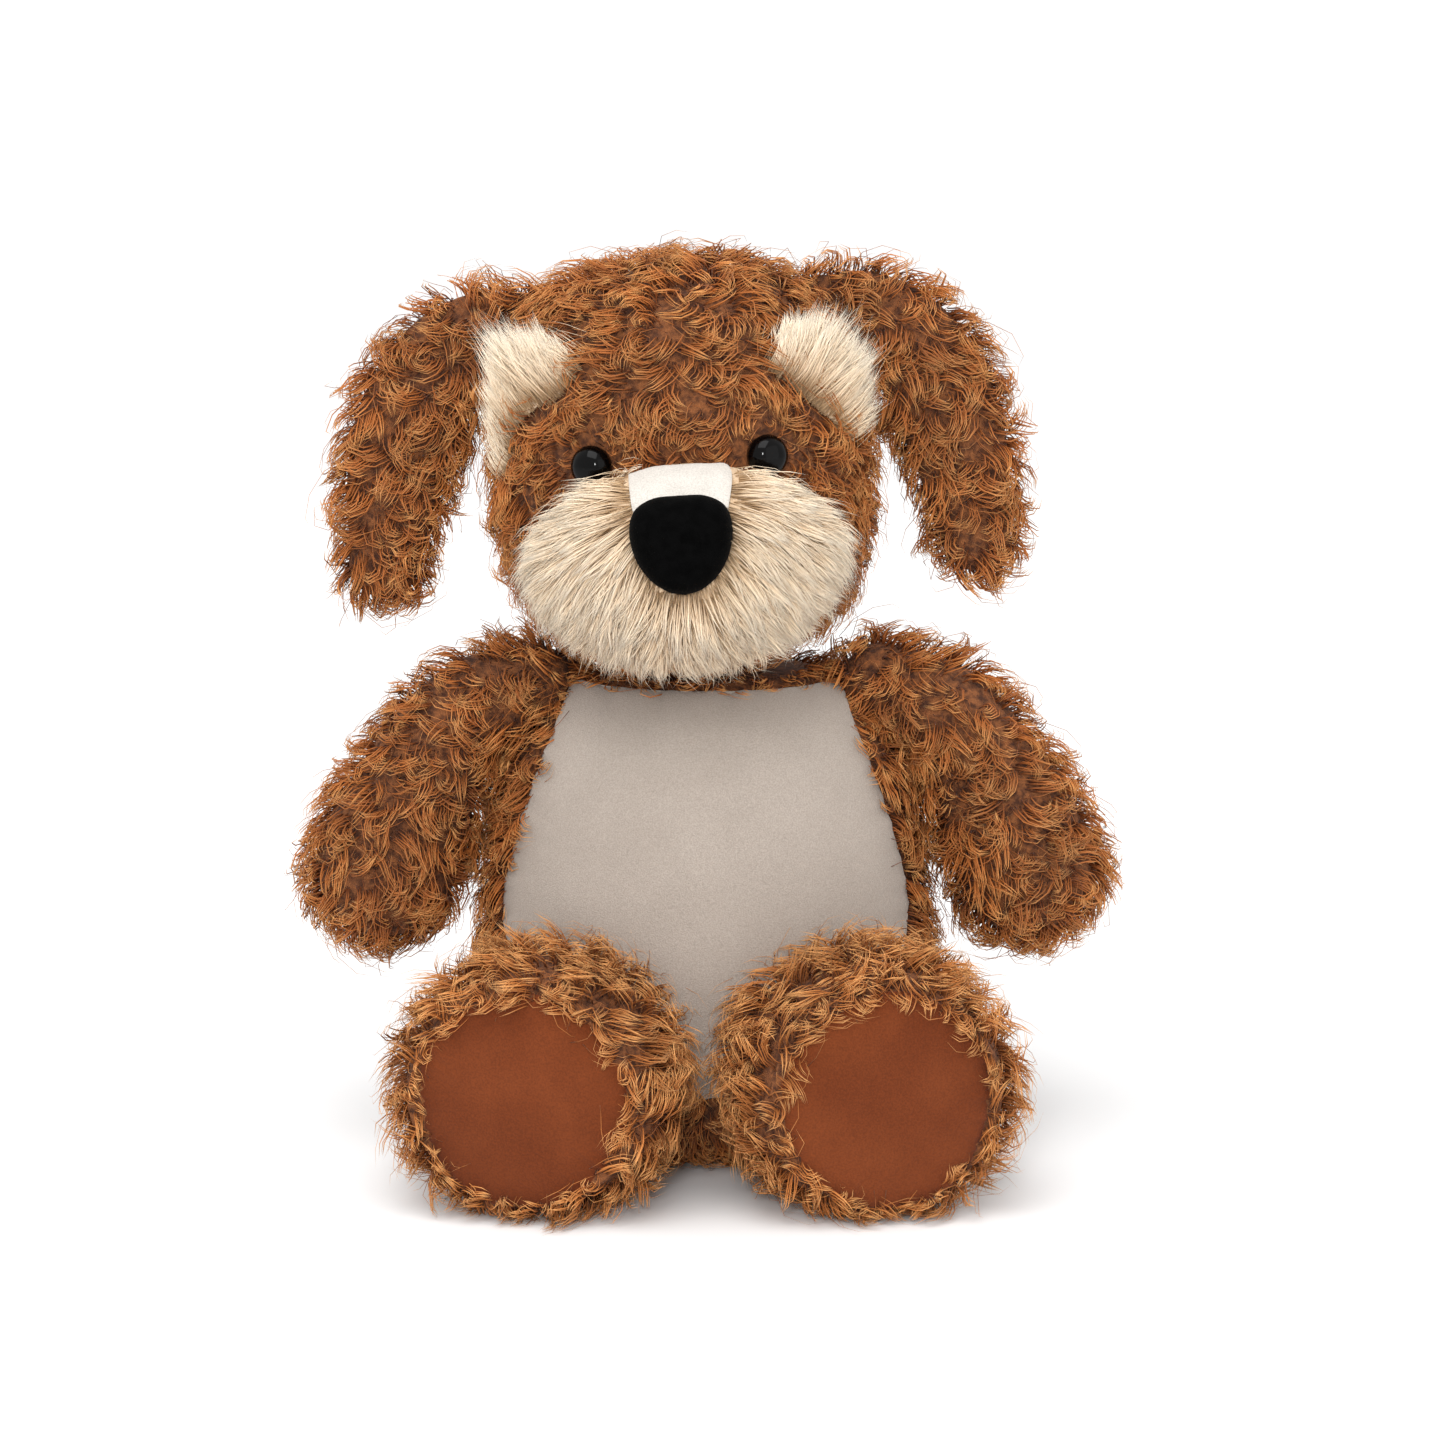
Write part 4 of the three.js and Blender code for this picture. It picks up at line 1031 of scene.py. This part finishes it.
def pad(outline, middle, carrier, thickness, lift, gathers=0.0, reach_in=0.07, seed=5):
    """A surface of (t, phi): the point middle + rho (outline(phi) - middle) on the carrier, with rho
    sin(pi t)^0.9, raised by lift + thickness cos(pi t) and by the gathers, a mean of seven sine waves
    round the rim that fade inwards as exp(-(1 - rho) / reach_in)."""
    reach = ray_lengths(outline, middle)
    rng = np.random.default_rng(seed)
    waves = rng.uniform(18, 64, 7).round()
    phases = rng.uniform(0, 2 * np.pi, 7)

    def surface(t, phi):
        """The point at t and phi."""
        rho = np.sin(np.pi * t) ** 0.9
        turn = np.mod(phi + np.pi, 2 * np.pi) - np.pi
        radius = reach(turn) * rho
        points, normals = carrier(middle[0] + radius * np.cos(phi), middle[1] + radius * np.sin(phi))
        ripple = np.sin(waves * np.asarray(turn)[..., None] + phases).mean(-1) * np.exp(-(1 - rho) / reach_in)
        rise = lift + thickness * np.cos(np.pi * t) + gathers * ripple * (t < 0.5)
        return points + normals * rise[..., None]

    return surface


chest = on_torso(np.array([0.0]), np.array([0.5 * torso_height]))
print("the chest's front and its normal", chest[0].round(4), chest[1].round(3))

# %% [markdown]
# ## The tummy panel
# The tummy is one pale, smooth piece that runs from the neck seam to between the legs. It could be a
# painted area of the torso, but on the real toy it is a separate cloth with its own crown and a puckered
# seam, so it is a thin pad that follows the torso's front.

# %% The tummy panel
PANEL_HALF = [[0.60, 0.975], [0.80, 0.733], [0.909, 0.5], [0.764, 0.317], [0.364, 0.193], [0, 0.167]]
panel_half = through(np.array(PANEL_HALF) * (torso_radius, torso_height), 60)
across_top = np.linspace(-1, 1, 40)[1:-1] * panel_half[0, 0]
panel_top = np.stack([across_top, np.full(len(across_top), panel_half[0, 1])], 1)
panel_outline = np.vstack([panel_half, (panel_half * (-1, 1))[::-1], panel_top])
panel_middle = np.array([0, 0.56 * torso_height])
panel = pad(panel_outline, panel_middle, on_torso, 2.2 * MM, 0.2 * MM, 0.9 * MM)
piece = closed_form("tummy_panel_cloth", panel, 80, 200)
stuffed(piece, TUMMY, "smooth_plush", "torso", 0.8, "tummy_panel")
print("panel", len(piece.data.polygons), "faces")

# %% [markdown]
# ## The soles
# Each sole is an oval of brushed suede, stuffed until it bulges and drawn in by its seam. A disc with a
# bump texture would look flat from the side. The same pad formula on the leg's flat end gives the bulge,
# with deeper gathers, and a slow wobble keeps the outline from being a perfect circle.

# %% The soles
SOLE_INSET = 3.5 * MM  # the pad's rim lies this far inside the leg's end
SOLE_TALLNESS = 1.03


def sole_carrier(leg):
    """The flat end of a leg, with x across and z up."""
    across = np.cross(leg.out, UP)

    def at(x, z):
        """The point and the leg's own direction."""
        end = leg.hinge + leg.out * (leg.length - SOLE_INSET)
        points = end + x[..., None] * across + z[..., None] * UP
        return points, np.broadcast_to(leg.out, points.shape)

    return at


sole_radius = 0.889 * leg_radius
for name, side in SIDES:
    ring = np.linspace(-np.pi, np.pi, 200)
    wobble = 1 + 0.018 * np.sin(3 * ring + side) + 0.012 * np.sin(5 * ring)
    outline = (sole_radius * wobble)[:, None] * np.stack([np.cos(ring), SOLE_TALLNESS * np.sin(ring)], 1)
    sole = pad(outline, np.zeros(2), sole_carrier(legs[name]), 4.2 * MM, 0.0, 1.3 * MM, 0.14, seed=6 + side)
    piece = closed_form(f"leg_{name}_sole_pad", sole, 60, 140)
    stuffed(piece, SUEDE, "suede", f"leg_{name}", 0.6, f"leg_{name}_sole")
print("sole radius", round(sole_radius, 4))

# %% [markdown]
# ## The bridge of the nose
# Between the eyes and the nose lies a small piece of white plush with a short, even pile. Its hairs are
# too short to be drawn one by one, so it is a thin pad with fine grain, laid where the head runs into the
# muzzle.

# %% The bridge
BRIDGE_MIDDLE = head_radius * np.array([0, -0.13])
BRIDGE = np.array([[-0.27, 0.04], [-0.14, 0.07], [0, 0.075], [0.14, 0.07], [0.27, 0.04], [0.25, -0.13],
                   [0.19, -0.32], [0, -0.36], [-0.19, -0.32], [-0.25, -0.13]])
bridge_line = through(np.vstack([BRIDGE, BRIDGE[:1]]) * 0.98 * head_radius, 160)
bridge = pad(bridge_line, BRIDGE_MIDDLE, on_face, 1.2 * MM, 0.4 * MM, 0.1 * MM)
piece = closed_form("nose_bridge_cloth", bridge, 60, 120)
stuffed(piece, SNOW, "white_plush", "head", 0.5, "nose_bridge")
print("bridge", len(piece.data.polygons), "faces")

# %% [markdown]
# ## The nose
# The nose is a stuffed pad of short black pile, broad and arched above and drawn to a soft point below, with
# one shallow crease where it was stitched. A scaled ball would be too round in outline and too pointed in
# front, so half an outline is given as points and swells to a rounded front as a superellipse does.

# %% The nose
NOSE_LINE = [[0, 1.0], [0.5, 0.97], [0.88, 0.74], [1, 0.3], [0.91, -0.22], [0.66, -0.66], [0.32, -0.93],
             [0, -1.01]]
NOSE_DEPTH = 1.1  # of half the CAD pad's depth
CREASE_DEPTH = 0.5 * MM
CREASE_WIDTH = 0.9 * MM
nose_low, nose_high = box_of("nose_pad")
nose_half = (nose_high - nose_low) / 2
nose_middle = (nose_high + nose_low) / 2
nose_right = through(np.array(NOSE_LINE) * (nose_half[0], nose_half[2]), 80)
nose_reach = ray_lengths(np.vstack([nose_right, (nose_right * (-1, 1))[::-1]]), np.zeros(2))


def nose(t, phi):
    """Outline(phi) times |sin(pi t)|^(2/n) across and |cos(pi t)|^(2/n) in depth: a superellipse with n
    of 2.5 from its front to its back. The crease is a dent of exp(-(distance / width)^2)."""
    out = np.sin(np.pi * t) ** 0.8
    deep = np.sign(np.cos(np.pi * t)) * np.abs(np.cos(np.pi * t)) ** 0.8
    reach = nose_reach(phi) * out
    x, z = reach * np.cos(phi), reach * np.sin(phi)
    off_crease = z - 0.15 * nose_half[2] + 0.3 * x
    dent = CREASE_DEPTH * np.exp(-((off_crease / CREASE_WIDTH) ** 2)) * (x > 0) * (t < 0.5)
    y = NOSE_DEPTH * nose_half[1] * deep - dent
    return nose_middle + x[..., None] * tilted[0] - y[..., None] * tilted[1] + z[..., None] * tilted[2]


piece = closed_form("nose_pile", nose, 70, 100)
stuffed(piece, NOSE_PILE, "black_plush", "head", 0.9, "nose_pad")
print("nose half sizes", nose_half.round(4))

# %% [markdown]
# ## The eyes
# The eyes are moulded domes on a shank, locked behind the fabric. A half ball would bulge too far, so a dome
# is a flatter profile, turned about the line that stands square to the face, and polished enough to show the
# small lamp as one bright spot.

# %% The eyes
EYE_PLACE = head_radius * np.array([0.452, 0.075])
EYE_PROFILE = [[0, -0.6], [0.8, -0.5], [1, -0.08], [0.985, 0.14], [0.86, 0.42], [0.6, 0.64], [0.3, 0.74],
               [0, 0.77]]
EYE_SHARE = 0.112  # its radius over the head's
EYE_STEP = 1.6 * MM  # the pile holds an eye off the backing
eye_radius = EYE_SHARE * head_radius
on_head = facing(head_depth, head_centre, tilted)
eye_middles = {}
for name, side in SIDES:
    place, normal = on_head(side * EYE_PLACE[:1], EYE_PLACE[1:])
    place, normal = place[0], normal[0]
    level = unit(np.cross(UP, normal))
    profile = even(through(np.array(EYE_PROFILE) * eye_radius))
    form = turned(profile, place + EYE_STEP * normal, (level, np.cross(normal, level), normal))
    piece = closed_form(f"eye_{name}_dome", form, 48, 48)
    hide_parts(f"eye_{name}")
    finish_piece(piece, EYE, "head")
    eye_middles[name] = place
print("eye radius", eye_radius)

# %% [markdown]
# ## Where the brows lie
# The brows are tufts of cream hair set into a seam over each eye. The coat has to stay clear of them, so
# their place is settled before it grows. Each follows a short line, wide and steep at its inner end and
# narrow and flat at its outer one, and the two sides differ, as they were sewn by hand.

# %% The brows' lines
BROW_LINES = {
    "right": [[-0.50, 0.57], [-0.60, 0.45], [-0.75, 0.38], [-0.89, 0.24], [-0.945, 0.0]],
    "left": [[0.54, 0.51], [0.645, 0.395], [0.80, 0.23], [0.89, 0.095]],
}
BROW_HEADINGS = {"right": (130, 98), "left": (74, 18)}  # degrees, at the inner and the outer end
BROW_WIDTHS = {"right": (0.10, 0.02), "left": (0.09, 0.04)}
BROW_TRIMS = {"right": (0.6, 1.2, 0.62, 0.4), "left": (0.6, 1.1, 0.9, 0.5)}  # of the length, along the line
BROW_LOCKS = 330


def brow_place(name, share, height):
    """A point of a brow's patch seen from the front: line(share) + height width(share) heading(share)."""
    line = through(np.array(BROW_LINES[name]) * head_radius, 80)
    at = np.linspace(0, 1, len(line))
    heading = np.radians(np.interp(share, [0, 1], BROW_HEADINGS[name]))
    width = head_radius * np.interp(share, [0, 1], BROW_WIDTHS[name])
    x = np.interp(share, at, line[:, 0]) + height * width * np.cos(heading)
    z = np.interp(share, at, line[:, 1]) + height * width * np.sin(heading)
    return x, z, heading


print("the right brow starts at", [round(float(c), 4) for c in brow_place("right", 0.0, 0.0)])

# %% [markdown]
# ## Where no pile grows
# Roots are spread over every furry form, then dropped where the form is covered: under the tummy panel
# and the muzzle, inside a neighbour, behind an eye and at the brows. A painted mask on the mesh would need
# redoing at every change of size. These tests ask the forms themselves whether a point is covered.

# %% Where no pile grows
def in_torso(points, margin):
    """Inside the torso's turned profile, less a margin."""
    radius = np.interp(points[:, 2], side_line[:, 1], side_line[:, 0]) - margin
    flat = (points - torso_centre)[:, :2] / (1, TORSO_FLATNESS)
    return (np.hypot(*flat.T) < radius) & (points[:, 2] < torso_height - margin)


def in_head(points, margin):
    """Inside the head's superellipse, less a margin."""
    local = (points - head_centre) @ tilted.T / (1, HEAD_FLATNESS, 1)
    out = np.hypot(local[:, 0], local[:, 1]) / (head_radius - margin)
    up = np.abs(local[:, 2]) / (head_half_height - margin)
    return out**HEAD_SQUARENESS + up**HEAD_SQUARENESS < 1


def in_muzzle(points, margin):
    """Inside the muzzle's ellipsoid, less a margin."""
    local = (points - muzzle_centre) @ tilted.T / (MUZZLE_HALF - margin)
    return np.linalg.norm(local, axis=1) < 1


def near(points, line, distance):
    """Within a distance of a line of points."""
    gaps = np.linalg.norm(points[:, None] - np.atleast_2d(line)[None, ::8], axis=2)
    return gaps.min(1) < distance


def in_outline(x, z, outline, middle, shrink):
    """Inside a ray-shaped outline that is drawn in by shrink."""
    reach = ray_lengths(outline, middle)(np.arctan2(z - middle[1], x - middle[0]))
    return np.hypot(x - middle[0], z - middle[1]) < reach - shrink


middles = np.array([torso_centre + 0.5 * torso_height * UP, head_centre])
print("in the torso", in_torso(middles, 0), "in the head", in_head(middles, 0))

# %% [markdown]
# ## Growing a coat
# A coat is scattered, thinned, combed and cut into pieces. Pile lies down by its own weight, yet each lock
# is swayed at random and its neighbours with it, which gives the tousled look. Where the real pile is
# clipped, at the eyes and the collar, a trim shortens the locks. A large coat is handed out to several
# pieces by where its roots are, so that no piece grows too heavy.

# %% Growing a coat
SPACING = 4.6 * MM
ROOT_SINK = 1.5 * MM
SWAY_PATCH = 24 * MM  # neighbours within this sway together


def coat(names, body, surface, hidden, pull, look, seed,
         style=CURLY, spacing=SPACING, sway=1.5, trim=None):
    """Locks over a form. names maps each piece's name to the test that picks its roots, so that no piece
    grows too heavy; hidden tells which roots are dropped, and trim how much of its length each keeps."""
    rng = np.random.default_rng(seed)
    points, normals, along = scatter(surface, spacing, seed)
    shown = ~hidden(points)
    points, normals, along = points[shown], normals[shown], along[shown]
    turn = sway * drift(points, SWAY_PATCH, seed + 2) + rng.normal(0, 0.25 * sway, len(points))
    kept = np.ones(len(points)) if trim is None else trim(points)
    flow = combed(normals, pull(points, normals, along), turn * kept**2)
    for index, (name, chosen) in enumerate(names.items()):
        pick = chosen(points)
        roots = points[pick] - ROOT_SINK * normals[pick]
        piece = strands(name, roots, normals[pick], flow[pick], style, seed + index, kept[pick])
        finish_piece(piece, look, body)
        print(f"{name:24}{pick.sum():6} locks{len(piece.data.polygons):8} faces")
    return len(points)


def everywhere(points):
    """Every root."""
    return np.ones(len(points), bool)


def downwards(points, normals, along):
    """Down by its weight, and a little out from the side."""
    return -UP + 0.35 * normals * (1, 1, 0)


def tipwards(points, normals, along):
    """Towards the limb's tip, and a little down."""
    return along - 0.6 * UP


print("spacing", SPACING, "sink", ROOT_SINK)

# %% [markdown]
# ## The torso's and the head's own rules
# The torso is bare under its panel and its neighbours, and clipped at the collar. On the head the pile is
# short beside the eyes and combed round them, or it would hang over them. A groom with guide hairs would do
# this by hand. Here the distance from the nearer eye does it.

# %% Rules for the torso and the head
def torso_hidden(points):
    """Under the panel, the arms, the legs, the tail and the head."""
    x, z = points[:, 0], points[:, 2]
    front = points[:, 1] < torso_centre[1]
    bare = in_outline(x, z, panel_outline, panel_middle, 0.5 * MM) & front
    bare |= (z > 0.97 * torso_height) & (np.hypot(x, points[:, 1] - torso_centre[1]) < 0.4 * torso_radius)
    bare |= z < 1 * MM
    for name, _ in SIDES:
        bare |= near(points, arms[name].spine, 11 * MM)
        leg_line = legs[name].hinge + np.linspace(0, 1, 80)[:, None] * legs[name].length * legs[name].out
        bare |= near(points, leg_line, 0.72 * leg_radius)
    return bare | near(points, tail.spine, 7 * MM)


def from_eyes(points):
    """The distance of each point from the nearer eye and the direction away from it."""
    ways = np.stack([points - eye_middles[name] for name, _ in SIDES])
    gaps = np.linalg.norm(ways, axis=2)
    nearest = gaps.argmin(0)
    pick = np.arange(len(points))
    return gaps[nearest, pick], unit(ways[nearest, pick])


def face_trim(points):
    """Short beside the eyes: a third of the length at an eye's rim, all of it three radii away."""
    gaps, _ = from_eyes(points)
    return np.interp(gaps / eye_radius, [1.1, 3], [0.32, 1])


def face_pull(points, normals, along):
    """Down, but round the eyes near them rather than over them."""
    gaps, away = from_eyes(points)
    hold = np.interp(gaps / eye_radius, [1.2, 3.2], [1, 0])[:, None]
    round_them = np.cross(normals, away)
    round_them *= np.where(round_them[:, 2:] > 0, -1, 1)
    return (1 - hold) * downwards(points, normals, along) + hold * (away + 1.2 * round_them)


def in_brows(points):
    """Under the cream hair of a brow."""
    local = (points - head_centre) @ tilted.T
    bare = np.zeros(len(points), bool)
    for name, _ in SIDES:
        x, z, _ = brow_place(name, np.linspace(0.03, 0.97, 30), 0.5)
        half = head_radius * np.interp(np.linspace(0, 1, 30), [0, 1], BROW_WIDTHS[name]) / 2
        gaps = np.hypot(local[:, :1] - x, local[:, 2:] - z)
        bare |= (gaps < half).any(1)
    return bare & (local[:, 1] < 0)


def head_hidden(points):
    """Inside the muzzle, under the bridge and the brows, behind the eyes and over the neck."""
    local = (points - head_centre) @ tilted.T
    front = local[:, 1] < 0
    bare = in_muzzle(points, 0.5 * MM) | in_brows(points)
    bare |= in_outline(local[:, 0], local[:, 2], bridge_line, BRIDGE_MIDDLE, 0.5 * MM) & front
    bare |= (local[:, 2] < -0.9 * head_half_height) & (np.hypot(local[:, 0], local[:, 1]) < 0.3 * head_radius)
    for name, _ in SIDES:
        bare |= near(points, eye_middles[name], 1.12 * eye_radius)
        bare |= near(points, ears[name].spine[:2], 6 * MM)
    return bare


def split(axis, at):
    """Two tests, below and above a place along an axis."""
    return lambda points: points[:, axis] < at, lambda points: points[:, axis] >= at


def quarters(body, x, z):
    """A coat's four pieces by name, each with the test that picks its roots, cut at x and at z."""
    return {
        f"{body}_{level}_{name}_pile": (lambda points, f=f, g=g: f(points) & g(points))
        for name, f in zip(("right", "left"), split(0, x))
        for level, g in zip(("lower", "upper"), split(2, z))
    }


def collar_trim(points):
    """Short in front of the neck, where the pile would fall over the panel's top."""
    high = np.interp(points[:, 2] / torso_height, [0.86, 0.93], [0, 1])
    ahead = np.interp((torso_centre[1] - points[:, 1]) / torso_radius, [0, 0.2], [0, 1])
    return 1 - 0.6 * high * ahead


torso_parts = quarters("torso", 0, 0.5 * torso_height)
coat(torso_parts, "torso", torso, torso_hidden, downwards, COAT, 100, trim=collar_trim)
head_parts = quarters("head", head_centre[0], head_centre[2])
coat(head_parts, "head", head, head_hidden, face_pull, COAT, 200, trim=face_trim)

# %% [markdown]
# ## The pile of the ears, the limbs and the tail
# The limbs grow the same coat, combed towards their tips. On the feet it is puffier, and its colour carries
# painted light: a little paler, for the more frontal light that falls there. A ring of short locks leans in
# over each sole, as the pile does where a seam pinches it.

# %% Ears, arms, legs and tail
RIM_LOCKS = 90
SOLE_EDGE = 4 * MM  # no coat grows this near a leg's flat end, where the rim's ring stands


def over_sole(points, normals, along):
    """Towards the sole and outwards, and a little down."""
    return along + 0.4 * normals - 0.3 * UP


def rim_pile(name, leg, side):
    """Locks evenly round a sole's seam, facing outwards and combed in towards its middle."""
    around = np.arange(RIM_LOCKS) * 2 * np.pi / RIM_LOCKS
    level = np.cross(leg.out, UP)
    radial = np.cos(around)[:, None] * level + np.sin(around)[:, None] * UP
    roots = leg.hinge + 1.01 * sole_radius * radial + (leg.length - SOLE_EDGE) * leg.out
    normals = unit(0.6 * radial + leg.out)
    rng = np.random.default_rng(550 + side)
    flow = combed(normals, -radial, rng.normal(0, 1.0, RIM_LOCKS))
    piece = strands(f"leg_{name}_rim_pile", roots, normals, flow, RIM, 560 + side)
    finish_piece(piece, FOOT_PAINTED_LIGHT, f"leg_{name}")


for number, (name, side) in enumerate(SIDES):
    coat({f"ear_{name}_pile": everywhere}, f"ear_{name}", ears[name], lambda p: in_head(p, 3 * MM),
         tipwards, COAT, 300 + 10 * number)
    coat({f"arm_{name}_pile": everywhere}, f"arm_{name}", arms[name], lambda p: in_torso(p, 3 * MM),
         tipwards, COAT, 400 + 10 * number)
    leg = legs[name]

    def leg_hidden(points, leg=leg):
        """On the flat end, or inside the torso."""
        far = (points - leg.hinge) @ leg.out
        return (far > leg.length - SOLE_EDGE) | in_torso(points, 3 * MM)

    coat({f"leg_{name}_pile": everywhere}, f"leg_{name}", leg, leg_hidden, over_sole, FOOT_PAINTED_LIGHT,
         500 + 10 * number, style=PUFFY)
    rim_pile(name, leg, side)
coat({"tail_pile": everywhere}, "tail", tail, lambda p: in_torso(p, 2 * MM), tipwards, COAT,
     600)

# %% [markdown]
# ## The muzzle's hair
# The muzzle is a long straight pile. It lies low, streams away from the nose and gathers in pointed tufts
# at its ends, so its locks are longer, straighter and finer than those of the coat. They are combed away from
# a point behind the nose, which needs no painted directions.

# %% The muzzle's hair
nose_root = nose_middle + 0.6 * MUZZLE_HALF[1] * tilted[1]


def muzzle_hidden(points):
    """Inside the head, under the nose and under the bridge."""
    local = (points - head_centre) @ tilted.T
    bare = in_head(points, -0.5 * MM)
    bare |= in_outline(local[:, 0], local[:, 2], bridge_line, BRIDGE_MIDDLE, 1.5 * MM)
    bare |= (np.abs(local[:, 0]) < 0.29 * head_radius) & (local[:, 2] > -0.01 * head_radius)
    bare |= from_eyes(points)[0] < 1.3 * eye_radius
    from_nose = (points - nose_middle) @ tilted.T
    return bare | (np.hypot(from_nose[:, 0] / nose_half[0], from_nose[:, 2] / nose_half[2]) < 0.8)


def from_the_nose(points, normals, along):
    """Away from a point behind the nose, a little down and to its left, and off the eyes."""
    away = unit(points - nose_root)
    gaps, off_eyes = from_eyes(points)
    hold = np.interp(gaps / eye_radius, [1.6, 3], [1.5, 0])[:, None]
    return away - 0.3 * UP + 0.12 * tilted[0] + hold * off_eyes


def muzzle_trim(points):
    """Shorter towards the eyes and above the bridge."""
    gaps, _ = from_eyes(points)
    return np.interp(gaps / eye_radius, [1.5, 3.4], [0.4, 1])


muzzle_parts = {
    "muzzle_right_pile": lambda points: (points - muzzle_centre) @ tilted[0] < 0,
    "muzzle_left_pile": lambda points: (points - muzzle_centre) @ tilted[0] >= 0,
}
muzzle_skin = turned(superellipse(1, 1, 2), muzzle_centre, tilted * MUZZLE_HALF[:, None])
muzzle_skin.profile = muzzle.profile * MUZZLE_HALF.mean()  # in metres, for the spread of the roots
coat(muzzle_parts, "head", muzzle_skin, muzzle_hidden, from_the_nose, CREAM, 700,
     LONG, 2.4 * MM, 0.22, muzzle_trim)

# %% [markdown]
# ## The brows
# A brow is a narrow strip of cream cloth with hair that fans out over the coat. It is longest near its inner
# end, which draws it to a point. Roots are strewn over the strip at random, denser towards the inner end.

# %% The brows
for name, side in SIDES:
    def patch(t, phi, name=name):
        """A strip that is 1 mm thick at its middle, rounded to points at both ends."""
        round_end = np.sqrt(np.maximum(np.sin(np.pi * t), 0))
        x, z, _ = brow_place(name, t, 0.5 + 0.5 * np.cos(phi) * round_end)
        points, normals = on_head(x, z)
        return points + normals * ((0.2 + np.sin(phi) * round_end) * MM)[..., None]

    piece = closed_form(f"brow_{name}_cloth", patch, 40, 24)
    stuffed(piece, CREAM_CLOTH, "long_plush", "head", 0.3, f"brow_{name}")
    rng = np.random.default_rng(800 + side)
    share = rng.uniform(0, 1, BROW_LOCKS) ** 1.2
    x, z, heading = brow_place(name, share, rng.uniform(0, 1, BROW_LOCKS))
    points, normals = on_head(x, z)
    pull = np.cos(heading)[:, None] * tilted[0] + np.sin(heading)[:, None] * tilted[2]
    flow = combed(normals, pull, rng.normal(0, 0.12, BROW_LOCKS))
    piece = strands(f"brow_{name}_pile", points - 0.5 * MM * normals, normals, flow, BROW, 810 + side,
                    np.interp(share, [0, 0.35, 0.7, 1], BROW_TRIMS[name]))
    finish_piece(piece, CREAM, "head")
